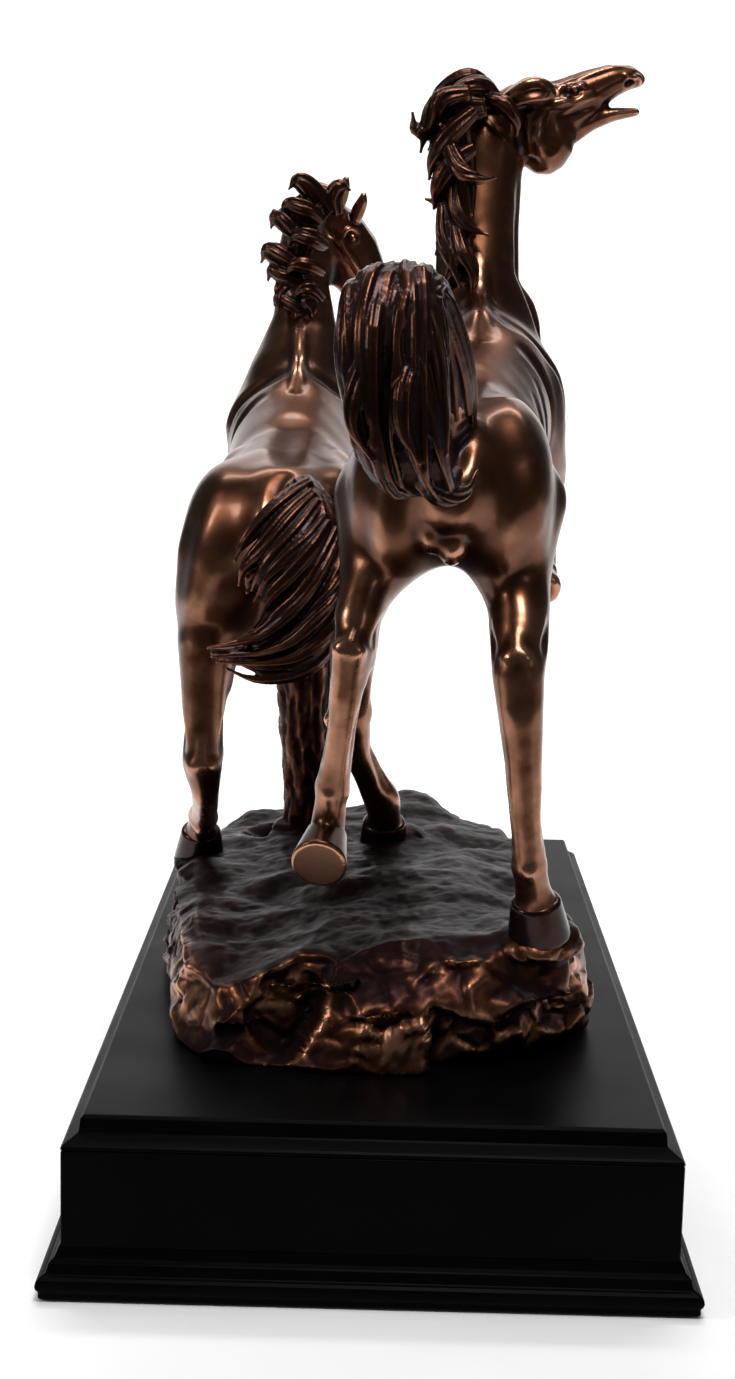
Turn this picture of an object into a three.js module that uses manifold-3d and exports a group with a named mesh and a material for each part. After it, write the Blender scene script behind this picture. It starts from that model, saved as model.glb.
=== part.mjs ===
// Bronze statue of two running horses on a craggy rock, on a moulded black plinth.
// Millimetres, +Z up. The origin is the centre of the plinth's underside, and the horses face +Y.
import * as THREE from 'three';
import { mergeVertices } from 'three/addons/utils/BufferGeometryUtils.js';
import Module from 'manifold-3d';

const wasm = await Module();
wasm.setup();

// ---- driving dimensions ----
const GAP = 0.3;                // between neighbours that touch on the real object
const FOOT_Z = 48.7;            // foot of the rock, in the casting's own heights
const CASTING_LIFT = 1.5;       // the casting's heights are counted from this far above the underside
const PLINTH_TOP_Z = FOOT_Z + CASTING_LIFT;
const TOP_HALF = [80, 169];     // half width and half length of the plinth's flat top
const BOARD_OUT = 5.7;          // how far the top board's moulded edge and the aprons stand out
const BOARD_THICK = 8.4;
const BOARD_BOTTOM_Z = PLINTH_TOP_Z - BOARD_THICK;
const APRON_THICK = 12;
const APRON_BOTTOM_Z = 3.2;
const MOULDING_OUT = 6.3;       // base moulding, out from the apron's face
const MOULDING_TOP_Z = 14;
const MOULDING_BOTTOM_Z = 0.6;
const MOULDING_ROUND = 2.6;     // radius of its nose, and of the cove above it
const MOULDING_NOSE_Z = 3.9;    // the nose's centre, up from the moulding's bottom
const MOULDING_COVE_Z = 1.4;    // the cove's centre, down from the moulding's top
const MOULDING_FOOT = 0.8;      // the moulding's foot is set back from its nose by this much
const BOARD_EDGE = [            // the top board's edge: stand-out, and depth below the top
  [BOARD_OUT, BOARD_THICK], [BOARD_OUT, 7.6], [BOARD_OUT - 0.8, 6.9], [1.9, 5.1], [1.3, 4.6],
  [0.9, 1], [0, 0],
];
const FELT_THICK = 1.1;
const PANEL_THICK = 1.5;
const BLOCK = [20, 20, 30];     // glue block in each inside corner of the plinth
const SCREW_PLACES = [[-34, -86], [38, -86], [-36, 62], [24, 62]];
const PANEL_INSET = 3;          // the bottom panel is this much smaller than the aprons' outside
const FELT_INSET = 4;           // and the felt this much smaller than the panel
const SCREW_SHANK = 2;          // radius of an M4 screw's shank
const SCREW_HEAD = 4;           // radius of its pan head
const SCREW_HEAD_HEIGHT = 2.8;
const SCREW_REACH = 14;         // how far the shank stands above the plinth's top
const SCREW_CLEARANCE = 0.6;    // round the shank, in the board and in the rock
const WASHER_RADIUS = 5;
const WASHER_THICK = 0.8;
const INSERT_RADIUS = 3.5;      // outside of the threaded insert in the rock
const INSERT_LENGTH = 10;
const INSERT_RISE = 3;          // from the plinth's top to the insert
const PIN_RADIUS = 1.5;         // steel dowels that hold hooves and stump in the rock
const PIN_HALF = 7;
const FIT = 0.35;               // round a pin, an insert or a screw in its thread
const OVERCUT = 1;              // a cutting rod runs this far past what it cuts
const ROUND_STEPS = 12;         // flats round a screw, washer, insert or pin

// ---- the rock's outline on the plinth, and how it steps in as it rises ----
const ROCK_OUTLINE = [
  [-54, -122], [-24, -130], [10, -134], [44, -126], [66, -108], [69, -78], [61, -40], [60, 0],
  [55, 40], [46, 76], [24, 106], [-4, 116], [-32, 108], [-56, 84], [-68, 44], [-75, 4],
  [-72, -36], [-66, -82],
];
const ROCK_CENTRE = [-2, -12];
const ROCK_COLUMNS = 40;
const ROCK_RIM = 0.86;          // the rim of the rock's top, as a share of the outline
const ROCK_LAYERS = [           // share of the outline, and share of the rock's height
  [0.97, 0], [1.0, 0.2], [0.965, 0.42], [0.985, 0.55], [0.93, 0.74], [0.945, 0.86], [ROCK_RIM, 1],
];
const ROCK_TOP_RINGS = [0.68, 0.46, 0.24];
const ROCK_TOP_HEIGHTS = [      // x, y, height of the rock's top there
  [48, -112, 88], [10, -116, 85], [-52, -116, 68], [-44, -70, 78], [-18, -104, 80], [60, -60, 82],
  [20, -40, 88], [-64, 12, 79], [2, 18, 84], [-27, 30, 86], [50, 20, 82], [-58, 50, 79],
  [-45, 70, 79], [10, 66, 90], [30, 58, 86], [-30, 66, 84], [-10, 104, 70], [44, 70, 72],
  [-68, -36, 77], [62, -96, 86],
];

// ---- the horses: each station is x, y, z, half width, half depth ----
const X_SIDE = [1, 0, 0];
const RIGHT_HORSE = {
  name: 'right_horse',
  torso: [
    [17, -133, 220, 11, 13], [18, -122, 221, 23, 21], [19, -100, 221, 28, 25], [21, -78, 222, 27, 25],
    [24, -52, 225, 23.5, 24.5], [28, -25, 231, 24.5, 28.5], [32, 0, 239, 24.5, 32.5],
    [34, 18, 245, 21, 30], [36, 31, 250, 14, 22], [37, 38, 252, 7, 10],
  ],
  masses: [   // centre x, y, z, then radii: haunches, shoulders, breast, withers, neck root, scrotum
    [33, -105, 218, 16, 26, 29], [3, -105, 217, 16, 26, 28], [47, 11, 234, 14.5, 20, 26],
    [20, 11, 234, 14, 20, 26], [36, 29, 236, 17, 14, 19], [29, 0, 262, 9, 22, 13],
    [40, 20, 262, 12, 16, 21], [16.5, -110, 203, 5, 7, 8],
  ],
  neck: [
    [31, 8, 246, 19, 26], [29.8, 15, 264, 16.5, 21], [29, 21, 282, 14.8, 17],
    [29, 26, 300, 14.5, 14.5], [29.5, 30, 316, 14.5, 13], [30.5, 32, 330, 14, 12], [31, 33, 338, 10.5, 9],
  ],
  neckSide: X_SIDE,
  neckCut: 1.6,
  head: [
    [34, 31, 334, 9, 11.5], [42, 33, 336.2, 10.5, 14], [51, 35, 338, 10.5, 13], [60, 37, 344, 8.5, 9.4],
    [68, 38.5, 349, 7.2, 7.4], [75, 39.8, 352.4, 6.6, 5.8], [81, 40.7, 353.6, 6, 4.3],
    [84.6, 41, 352.8, 4, 2.6],
  ],
  jaw: [
    [52, 35.5, 331, 7, 9], [60, 37, 335.2, 5.8, 5.8], [68, 38.5, 338.8, 4.8, 3.8],
    [76, 39.6, 341, 4.2, 2.5], [84, 40.6, 342, 3.2, 1.4],
  ],
  jowl: [51.5, 35, 333, 11, 10.5, 14],
  headSide: [0, 1, 0],
  ears: [
    [[50, 29, 344, 3.4, 3], [44, 26.5, 344.5, 3.2, 2.6], [37, 24, 343, 2.4, 2], [31.5, 22.5, 341, 1, 1]],
    [[16, 36, 333, 3, 2.6], [11, 36.5, 334, 2.6, 2.2], [8, 37, 337.5, 1.8, 1.6], [7, 37, 340.5, 0.9, 0.9]],
  ],
  mane: [
    [28, 20, 342, 5.5, 5.5], [20, 19, 337, 6.5, 6.5], [18.5, 18, 324, 6, 6.5], [19, 14, 308, 6, 6.5],
    [21, 8, 292, 6, 6.5], [24, 2, 280, 4, 4.5],
  ],
  tail: [
    [18, -124, 236, 6, 6], [14, -138, 251, 8, 7], [8, -149, 266, 10, 7], [1, -157, 272.5, 11.5, 7],
    [-1, -165, 262, 13.5, 6.5], [1, -168, 246, 13, 6.5], [4, -165, 231, 12, 6.5],
    [10, -157, 224, 9, 6], [16, -149, 227, 5, 4.5],
  ],
  tailSide: X_SIDE,
  tailCut: 0.9,
  legs: {
    hind_leg_right: {
      cut: 2.3,
      path: [
        [30, -98, 232, 14, 22], [35, -99, 212, 14, 25], [38, -102, 197, 11, 19.5],
        [39, -109, 186, 9.6, 14], [38.8, -119, 176, 8.8, 10.5], [38.4, -126, 167, 7.8, 9],
        [39.4, -127, 156, 6.8, 7.4], [40.8, -125, 142, 5.7, 6], [42.2, -122.5, 125, 5.1, 5.4],
        [44, -120, 110, 5.2, 5.8], [45.6, -116.5, 101.5, 5.4, 5.6], [46.6, -114.5, 97.5, 5.6, 6],
      ],
      hoof: [[46.6, -114.5, 98.5, 6.6, 7.2], [47.4, -113, 93, 7.6, 8.4], [48.4, -111, 86.5, 8.7, 9.6]],
      planted: true,
    },
    hind_leg_left: {
      cut: 2.3,
      path: [
        [6, -98, 230, 14, 22], [1, -100, 212, 13.5, 24], [-3, -105, 199, 10.6, 17.5],
        [-6, -112, 189, 8.2, 12], [-8.6, -119, 180, 7, 9], [-9.6, -121, 172, 6.6, 8.5],
        [-10.6, -118, 162, 5.4, 6.5], [-12, -114, 150, 4.7, 5.2], [-13.5, -110, 138, 4.8, 5.2],
        [-14.6, -107, 129, 5.2, 5.8], [-15.6, -106.5, 119.5, 4.4, 4.8], [-16, -107.5, 115, 4.4, 4.8],
      ],
      hoof: [[-16, -105, 114.5, 5, 5.6], [-16.6, -110, 112.2, 6.4, 6.8], [-17.8, -119, 108.8, 7.4, 7.9]],
    },
    fore_leg_right: {
      cut: 1.6,
      path: [
        [50, 10, 236, 9, 14], [53.5, 12, 224, 8, 12], [56, 22, 214, 6.5, 8.5], [57.3, 33, 206, 5.6, 6.5],
        [57.8, 41, 201, 5.6, 6.2], [57.8, 42, 192, 4.4, 5], [57.5, 34, 185, 3.8, 4.2],
        [56.5, 27, 180.5, 4.4, 4.8], [56.2, 21, 179.5, 3.8, 4], [56, 17, 179, 3.8, 4],
      ],
      hoof: [[56, 19, 179.5, 4.6, 5], [56, 16, 178.5, 5.4, 5.8], [55.5, 10, 176, 6.2, 6.8]],
    },
    fore_leg_left: {
      cut: 1.6,
      path: [
        [20, 10, 236, 9, 14], [17, 14, 226, 8, 12], [14, 26, 220, 6.5, 8.5], [12, 40, 217, 5.4, 6.5],
        [11, 51, 215, 5.6, 6.2], [10.5, 55, 207, 4.4, 5], [10.5, 50, 198, 3.8, 4.2],
        [11, 43, 192.5, 4.4, 4.8], [11, 38, 190, 3.8, 4], [11, 35, 189, 3.8, 4],
      ],
      hoof: [[11, 37, 190, 4.6, 5], [11, 34.2, 188.6, 5.4, 5.8], [11, 28, 185.4, 6.2, 6.8]],
    },
  },
};
const LEFT_HORSE = {
  name: 'left_horse',
  torso: [
    [-33, -46, 199, 12, 13], [-34, -35, 199, 24, 21], [-35, -14, 201, 29, 24.5], [-35, 8, 203, 27.5, 24],
    [-35, 34, 206, 24, 24], [-35, 60, 212, 25, 28.5], [-35, 84, 220, 25, 31.5],
    [-34, 102, 228, 20, 27], [-33, 114, 234, 13, 18], [-33, 120, 237, 6, 8],
  ],
  masses: [
    [-50.5, -18, 192, 18.5, 26, 30], [-19, -18, 194, 16, 26, 28], [-49, 90, 214, 13.5, 20, 27],
    [-21, 90, 214, 13.5, 20, 27], [-34, 109, 214, 17, 14, 19], [-34.5, 80, 240, 9, 22, 13],
    [-43, 92, 238, 12.5, 18, 23], [-26.5, 96, 240, 10.5, 16, 21],
  ],
  neck: [
    [-34, 90, 236, 18, 24], [-34.5, 98, 254, 14.8, 19], [-34, 104, 268, 12.5, 15], [-35, 108, 282, 10.6, 13],
    [-34, 111, 296, 10.6, 12], [-31, 113, 308, 10.6, 11.5], [-27, 114, 314, 9, 9],
  ],
  neckSide: X_SIDE,
  neckCut: 1.6,
  head: [
    [-28, 112, 307, 8.5, 9], [-22, 115, 301, 9.5, 12], [-16, 118, 293, 9, 12], [-10, 121.5, 283, 7.6, 9.4],
    [-5, 124.5, 274, 6.4, 7.2], [-1, 127, 266, 6, 6.4], [1, 128, 262.5, 4.4, 4.4],
  ],
  jaw: [
    [-23, 115, 290, 6.5, 7], [-16, 118, 281, 5.4, 5], [-9.5, 121.5, 272, 4.4, 3.6],
    [-5, 124, 265, 3.6, 2.6],
  ],
  jowl: [-21, 116, 294, 9.5, 9, 11.5],
  headSide: [-0.48, 0.87, 0],
  ears: [
    [
      [-22, 106, 311, 2.8, 2.6], [-20.5, 104, 315, 2.6, 2.4], [-19, 102, 319, 1.8, 1.6],
      [-18.5, 101, 321, 0.8, 0.8],
    ],
    [
      [-15, 111, 307, 2.8, 2.6], [-13.5, 109, 310, 2.6, 2.4], [-12.5, 107, 313, 1.8, 1.6],
      [-12, 106, 315, 0.8, 0.8],
    ],
  ],
  mane: [
    [-21, 103, 315, 5, 5], [-30, 102, 314, 6.5, 6], [-37.5, 100, 305, 6, 6], [-40, 98, 293, 6, 6.5],
    [-40, 93, 280, 5, 6], [-38, 88, 268, 3.5, 4],
  ],
  tail: [
    [-28, -36, 212, 6, 6], [-26, -49, 205, 8, 7], [-25, -58, 193, 7.5, 11], [-28, -62, 180, 7, 12.5],
    [-36, -63, 168.5, 6.5, 11], [-46, -63, 164, 5, 7.5], [-57, -62, 163.5, 3, 2.6],
  ],
  tailSide: [0, 1, 0],
  tailCut: 0.8,
  legs: {
    hind_leg_left: {
      cut: 2.6,
      path: [
        [-48, -18, 210, 15, 22], [-54.5, -18, 190, 16.2, 25], [-57.5, -20, 172, 14, 20.5],
        [-59.6, -23, 157, 10.2, 14], [-60, -26, 145, 8.2, 10], [-60, -28, 131, 7.2, 8],
        [-60.2, -29, 119, 7, 8.5], [-59.5, -24, 109, 4.8, 6.5], [-60.5, -12, 101, 4.6, 5.2],
        [-62, -2, 95, 5.2, 5.6], [-63, 5, 89.5, 4.8, 5], [-63.4, 8, 87, 5, 5.4],
      ],
      hoof: [[-63.4, 8, 88, 6, 6.6], [-63.8, 10, 83, 7, 7.6], [-64.4, 13, 76.5, 8.2, 8.8]],
      planted: true,
    },
    hind_leg_right: {
      cut: 2.6,
      path: [
        [-20, -18, 210, 14, 22], [-15, -17, 190, 13.5, 24], [-11, -15, 172, 11, 18],
        [-10, -13, 157, 8, 12], [-10.5, -14, 145, 6.6, 9], [-10.5, -14, 133, 6.4, 8.5],
        [-8.5, -9, 121, 5.2, 6], [-4, 0, 110, 5.4, 5.6], [0.5, 6, 101, 6.8, 6.5], [1.5, 10, 94, 6, 6],
        [1.5, 12, 91, 6, 6],
      ],
      hoof: [[1.5, 12, 92, 6.6, 7], [1.5, 14, 87, 7.2, 8], [1.6, 16.5, 80.5, 8, 9]],
      planted: true,
    },
    fore_leg_left: {
      cut: 1.6,
      path: [
        [-50, 92, 212, 9, 14], [-52, 96, 200, 8, 12], [-54, 108, 190, 6.5, 8.5], [-55, 121, 183, 5.4, 6.5],
        [-55.5, 131, 180, 5.6, 6.2], [-55.5, 134, 171, 4.4, 5], [-55, 128, 162, 3.8, 4.2],
        [-54.5, 120, 157, 4.4, 4.8], [-54.5, 114, 155, 3.8, 4], [-54.5, 110, 154, 3.8, 4],
      ],
      hoof: [[-54.5, 112, 154.5, 4.6, 5], [-54.5, 109, 153.5, 5.4, 5.8], [-54.5, 103, 150.5, 6.4, 7]],
    },
    fore_leg_right: {
      cut: 1.6,
      path: [
        [-20, 92, 212, 9, 14], [-18, 97, 202, 8, 12], [-16, 111, 196, 6.5, 8.5], [-15, 125, 192, 5.4, 6.5],
        [-14.5, 136, 190, 5.6, 6.2], [-14.5, 140, 181, 4.4, 5], [-14.5, 138, 169, 3.8, 4.2],
        [-14.5, 133, 159, 4.4, 4.8], [-14.5, 129, 153, 3.8, 4], [-14.5, 127, 150, 3.8, 4],
      ],
      hoof: [[-14.5, 128, 151.5, 4.6, 5], [-14.5, 126.4, 148.5, 5.4, 5.8], [-14.5, 123, 142, 6.4, 7]],
    },
  },
};
const STUMP = [
  [-27, 31, 78, 13, 12], [-26.5, 30, 88, 9.5, 9.5], [-26.5, 29, 98, 8.5, 8.5], [-27.5, 27, 120, 9.5, 9.5],
  [-28, 26, 140, 10.5, 10.5], [-29, 25, 160, 11.5, 11.5], [-30, 24, 176, 12, 12], [-30, 24, 190, 12, 12],
];

// ---- colours of the finishes ----
const BRONZE = { color: 0x8a5238, roughness: 0.28, metalness: 1 };
const DARK_BRONZE = { color: 0x3d241c, roughness: 0.4, metalness: 0.9 };
const LACQUER = { color: 0x0c0c0d, roughness: 0.3, metalness: 0 };
const RAW_WOOD = { color: 0x9a7a50, roughness: 0.8, metalness: 0 };
const FELT = { color: 0x1d1d1f, roughness: 1, metalness: 0 };
const STEEL = { color: 0xb8bcc0, roughness: 0.35, metalness: 1 };
const BRASS = { color: 0xb9924a, roughness: 0.35, metalness: 1 };

const statue = new THREE.Group();
const plinth = new THREE.Group();
const casting = new THREE.Group();
casting.position.z = CASTING_LIFT;
statue.add(plinth, casting);

// ---- solids: from point rings to manifolds, and from manifolds to meshes ----
function solidFrom(positions, triangles) {
  const points = new Float32Array(positions);
  let volume = 0;
  const [a, b, c] = [new THREE.Vector3(), new THREE.Vector3(), new THREE.Vector3()];
  for (const [i, j, k] of triangles) {
    a.fromArray(points, 3 * i);
    b.fromArray(points, 3 * j);
    c.fromArray(points, 3 * k);
    volume += a.dot(b.cross(c));
  }
  const outward = volume > 0 ? triangles : triangles.map(([i, j, k]) => [i, k, j]);
  const mesh = new wasm.Mesh({
    numProp: 3, vertProperties: points, triVerts: new Uint32Array(outward.flat()),
  });
  return new wasm.Manifold(mesh);
}

function solidFromGeometry(source) {
  const geometry = source.clone();
  geometry.deleteAttribute('normal');
  geometry.deleteAttribute('uv');
  const merged = mergeVertices(geometry, 1e-4);
  const index = merged.index.array;
  const triangles = [];
  for (let n = 0; n < index.length; n += 3) {
    const [i, j, k] = [index[n], index[n + 1], index[n + 2]];
    if (i !== j && j !== k && k !== i) triangles.push([i, j, k]);
  }
  return solidFrom(Array.from(merged.attributes.position.array), triangles);
}

function addPart(group, name, solid, finish, place = [0, 0, 0]) {
  const { vertProperties, triVerts } = solid.getMesh();
  const geometry = new THREE.BufferGeometry();
  geometry.setAttribute('position', new THREE.BufferAttribute(new Float32Array(vertProperties), 3));
  geometry.setIndex(new THREE.BufferAttribute(new Uint32Array(triVerts), 1));
  geometry.computeVertexNormals();
  const mesh = new THREE.Mesh(geometry, new THREE.MeshStandardMaterial(finish));
  mesh.name = name;
  mesh.position.set(...place);
  group.add(mesh);
}

// Rings of equal counts joined into one closed skin, with a pole at each end.
function skinRings(rings, firstPole, lastPole) {
  const count = rings[0].length;
  const positions = [...rings.flat().flat(), ...firstPole, ...lastPole];
  const first = rings.length * count;
  const last = first + 1;
  const triangles = [];
  for (let k = 0; k < count; k += 1) {
    const next = (k + 1) % count;
    for (let r = 0; r < rings.length - 1; r += 1) {
      const low = r * count;
      const high = low + count;
      triangles.push([low + k, low + next, high + next], [low + k, high + next, high + k]);
    }
    const top = (rings.length - 1) * count;
    triangles.push([first, next, k], [last, top + k, top + next]);
  }
  return solidFrom(positions, triangles);
}

// A body lofted through stations. Its ends are rounded, but flat at the hoof's sole and at a cut.
// `from` and `to` are places along the stations, where 1.5 is half way between the second and third.
function loft(stations, side, { sides, flatEnd = false, grow = 0, from = 0, to = null }) {
  const last = stations.length - 1;
  const finish = to ?? last;
  const centres = stations.map(([x, y, z]) => new THREE.Vector3(x, y, z));
  const curve = new THREE.CatmullRomCurve3(centres, false, 'centripetal');
  const sizes = new THREE.SplineCurve(stations.map((s) => new THREE.Vector2(s[3], s[4])));
  const sideways = new THREE.Vector3(...side);
  const along = (place, slide) => curve.getPoint(place / last)
    .addScaledVector(curve.getTangent(place / last), slide);
  const ring = (place, slide, scale) => {
    const tangent = curve.getTangent(place / last);
    const wide = sideways.clone().addScaledVector(tangent, -sideways.dot(tangent)).normalize();
    const deep = tangent.clone().cross(wide);
    const size = sizes.getPoint(place / last);
    const centre = along(place, slide);
    return Array.from({ length: sides }, (_, k) => {
      const angle = (2 * Math.PI * (k + 0.5)) / sides;
      return centre.clone()
        .addScaledVector(wide, (size.x + grow) * scale * Math.cos(angle))
        .addScaledVector(deep, (size.y + grow) * scale * Math.sin(angle)).toArray();
    });
  };
  const reach = (place) => {
    const size = sizes.getPoint(place / last);
    return Math.min(size.x, size.y) + grow;
  };
  const startSlide = from > 0 ? GAP : 0;
  const places = [];
  for (let n = Math.floor(from) + 1; n < finish; n += 1) places.push(n);
  const rings = [ring(from, startSlide, 1), ...places.map((place) => ring(place, 0, 1)), ring(finish, 0, 1)];
  const roundStart = from === 0;
  const roundEnd = to === null && !flatEnd;
  if (roundStart) rings.unshift(ring(0, -0.45 * reach(0), 0.72));
  if (roundEnd) rings.push(ring(last, 0.45 * reach(last), 0.72));
  const firstPole = along(from, roundStart ? -0.7 * reach(0) : startSlide).toArray();
  const lastPole = along(finish, roundEnd ? 0.7 * reach(last) : (flatEnd ? grow : 0)).toArray();
  return skinRings(rings, firstPole, lastPole);
}

function ellipsoid([x, y, z, rx, ry, rz], grow = 0) {
  const ball = new THREE.SphereGeometry(1, 14, 9);
  ball.scale(rx + grow, ry + grow, rz + grow);
  ball.translate(x, y, z);
  return solidFromGeometry(ball);
}

function box(width, length, height) {
  return solidFromGeometry(new THREE.BoxGeometry(width, length, height));
}

function turned(profile) {
  const points = profile.map(([radius, height]) => new THREE.Vector2(radius, height));
  return solidFromGeometry(new THREE.LatheGeometry(points, ROUND_STEPS).rotateX(Math.PI / 2));
}

const rod = (radius, low, high) => turned([[0, low], [radius, low], [radius, high], [0, high]]);
const union = (solids) => solids.reduce((whole, solid) => whole.add(solid));

// The main body that a cut leaves, without slivers.
function mainBody(solid) {
  return solid.decompose().reduce((main, piece) => (piece.volume() > main.volume() ? piece : main));
}

// ---- plinth ----
// A rectangular board whose moulded edge is given as rings of (stand-out, height).
function mouldedBoard(edge) {
  const [halfWide, halfLong] = TOP_HALF;
  const rings = edge.map(([out, z]) => [
    [-halfWide - out, -halfLong - out, z], [halfWide + out, -halfLong - out, z],
    [halfWide + out, halfLong + out, z], [-halfWide - out, halfLong + out, z],
  ]);
  const last = edge.length - 1;
  return skinRings(rings, [0, 0, edge[0][1]], [0, 0, edge[last][1]]);
}

// One side of a mitred frame: its profile is (stand-out from the top's edge, height).
function mitredSide(profile, alongWidth) {
  const [across, along] = alongWidth ? [TOP_HALF[1], TOP_HALF[0]] : TOP_HALF;
  const end = (sign) => profile.map(([out, z]) => {
    const reach = sign * (along + out - GAP / 2);
    return alongWidth ? [reach, across + out, z] : [across + out, reach, z];
  });
  const [low, high] = [end(-1), end(1)];
  const count = profile.length;
  const flat = THREE.ShapeUtils.triangulateShape(profile.map((p) => new THREE.Vector2(...p)), []);
  const triangles = [];
  for (let k = 0; k < count; k += 1) {
    const next = (k + 1) % count;
    triangles.push([k, next, count + next], [k, count + next, count + k]);
  }
  for (const [i, j, k] of flat) triangles.push([i, k, j], [count + i, count + j, count + k]);
  return solidFrom([...low, ...high].flat(), triangles);
}

function arcPoints(centreOut, centreZ, radius, from, to, steps) {
  return Array.from({ length: steps + 1 }, (_, n) => {
    const angle = THREE.MathUtils.degToRad(from + ((to - from) * n) / steps);
    return [centreOut + radius * Math.cos(angle), centreZ + radius * Math.sin(angle)];
  });
}

function addPlinth() {
  const [halfWide, halfLong] = TOP_HALF;
  const face = BOARD_OUT;
  let board = mouldedBoard(BOARD_EDGE.map(([out, down]) => [out, PLINTH_TOP_Z - down]));
  const bore = rod(SCREW_SHANK + SCREW_CLEARANCE, BOARD_BOTTOM_Z - OVERCUT, PLINTH_TOP_Z + OVERCUT);
  for (const [x, y] of SCREW_PLACES) board = board.subtract(bore.translate(x, y, 0));
  addPart(plinth, 'plinth_top_board', board, LACQUER);

  const apronTop = BOARD_BOTTOM_Z - GAP;
  const back = face - APRON_THICK;
  const apron = [[back, APRON_BOTTOM_Z], [face, APRON_BOTTOM_Z], [face, apronTop], [back, apronTop]];
  const inner = face + GAP;
  const nose = face + MOULDING_OUT - MOULDING_ROUND;
  const moulding = [
    [inner, MOULDING_BOTTOM_Z], [face + MOULDING_OUT - MOULDING_FOOT, MOULDING_BOTTOM_Z],
    ...arcPoints(nose, MOULDING_BOTTOM_Z + MOULDING_NOSE_Z, MOULDING_ROUND, -50, 90, 6),
    ...arcPoints(nose, MOULDING_TOP_Z - MOULDING_COVE_Z, MOULDING_ROUND, 250, 190, 3),
    [inner, MOULDING_TOP_Z],
  ];
  const sides = [
    ['right', false, 0], ['far', true, 0], ['left', false, 180], ['near', true, 180],
  ];
  for (const [place, alongWidth, turn] of sides) {
    const apronBoard = mitredSide(apron, alongWidth).rotate([0, 0, turn]);
    const baseMoulding = mitredSide(moulding, alongWidth).rotate([0, 0, turn]);
    addPart(plinth, `apron_board_${place}`, apronBoard, LACQUER);
    addPart(plinth, `base_moulding_${place}`, baseMoulding, LACQUER);
  }
  const inside = [halfWide + back - GAP, halfLong + back - GAP];
  const corners = [[1, 1, 'far_right'], [-1, 1, 'far_left'], [-1, -1, 'near_left'], [1, -1, 'near_right']];
  for (const [x, y, name] of corners) {
    const place = [x * (inside[0] - BLOCK[0] / 2), y * (inside[1] - BLOCK[1] / 2), apronTop - BLOCK[2] / 2];
    addPart(plinth, `corner_block_${name}`, box(...BLOCK), RAW_WOOD, place);
  }
  const [wide, long] = [2 * (halfWide + face) - PANEL_INSET, 2 * (halfLong + face) - PANEL_INSET];
  const panelZ = APRON_BOTTOM_Z - GAP - PANEL_THICK / 2;
  addPart(plinth, 'bottom_panel', box(wide, long, PANEL_THICK), RAW_WOOD, [0, 0, panelZ]);
  const felt = box(wide - FELT_INSET, long - FELT_INSET, FELT_THICK);
  addPart(plinth, 'felt_pad', felt, FELT, [0, 0, FELT_THICK / 2]);
}

// ---- fasteners between the plinth and the rock ----
function addFasteners() {
  const washerLow = BOARD_BOTTOM_Z - GAP - WASHER_THICK;
  const headTop = washerLow - GAP;
  const headLow = headTop - SCREW_HEAD_HEIGHT;
  const tip = PLINTH_TOP_Z + SCREW_REACH;
  const screw = turned([
    [0, headLow], [0.6 * SCREW_HEAD, headLow], [SCREW_HEAD - 0.1, headLow + 1], [SCREW_HEAD, headTop],
    [SCREW_SHANK, headTop], [SCREW_SHANK, tip - 1], [0.6 * SCREW_SHANK, tip], [0, tip],
  ]);
  const washer = rod(WASHER_RADIUS, washerLow, washerLow + WASHER_THICK)
    .subtract(rod(SCREW_SHANK + FIT, washerLow - OVERCUT, washerLow + WASHER_THICK + OVERCUT));
  const insertLow = PLINTH_TOP_Z + INSERT_RISE;
  const insertTop = insertLow + INSERT_LENGTH;
  const insert = rod(INSERT_RADIUS, insertLow, insertTop)
    .subtract(rod(SCREW_SHANK + FIT, insertLow - OVERCUT, insertTop + OVERCUT));
  SCREW_PLACES.forEach(([x, y], n) => {
    addPart(plinth, `mounting_screw_${n + 1}`, screw, STEEL, [x, y, 0]);
    addPart(plinth, `washer_${n + 1}`, washer, STEEL, [x, y, 0]);
    addPart(plinth, `threaded_insert_${n + 1}`, insert, BRASS, [x, y, 0]);
  });
}

// ---- rock ----
function rockHeight(x, y) {
  let sum = 0;
  let weight = 0;
  for (const [px, py, height] of ROCK_TOP_HEIGHTS) {
    const near = 1 / ((x - px) ** 2 + (y - py) ** 2 + 60) ** 1.5;
    sum += near * height;
    weight += near;
  }
  return sum / weight;
}

function rockSolid() {
  const outline = new THREE.CatmullRomCurve3(
    ROCK_OUTLINE.map(([x, y]) => new THREE.Vector3(x, y, 0)), true, 'centripetal',
  );
  const low = FOOT_Z + GAP;
  const [cx, cy] = ROCK_CENTRE;
  const columns = Array.from({ length: ROCK_COLUMNS }, (_, k) => outline.getPoint(k / ROCK_COLUMNS));
  const rough = (k, level) => (
    0.018 * Math.sin(k * 2.1 + level * 1.7) + 0.014 * Math.sin(k * 5.3 - level * 2.9)
  );
  const rings = ROCK_LAYERS.map(([share, rise], level) => columns.map((p, k) => {
    const scale = share + (rise > 0 ? rough(k, level) : 0);
    const [x, y] = [cx + (p.x - cx) * scale, cy + (p.y - cy) * scale];
    const top = rockHeight(cx + (p.x - cx) * ROCK_RIM, cy + (p.y - cy) * ROCK_RIM);
    return [x, y, low + (top - low) * rise];
  }));
  for (const share of ROCK_TOP_RINGS) {
    rings.push(columns.map((p) => {
      const [x, y] = [cx + (p.x - cx) * share, cy + (p.y - cy) * share];
      return [x, y, rockHeight(x, y)];
    }));
  }
  return skinRings(rings, [cx, cy, low], [cx, cy, rockHeight(cx, cy)]);
}

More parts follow.
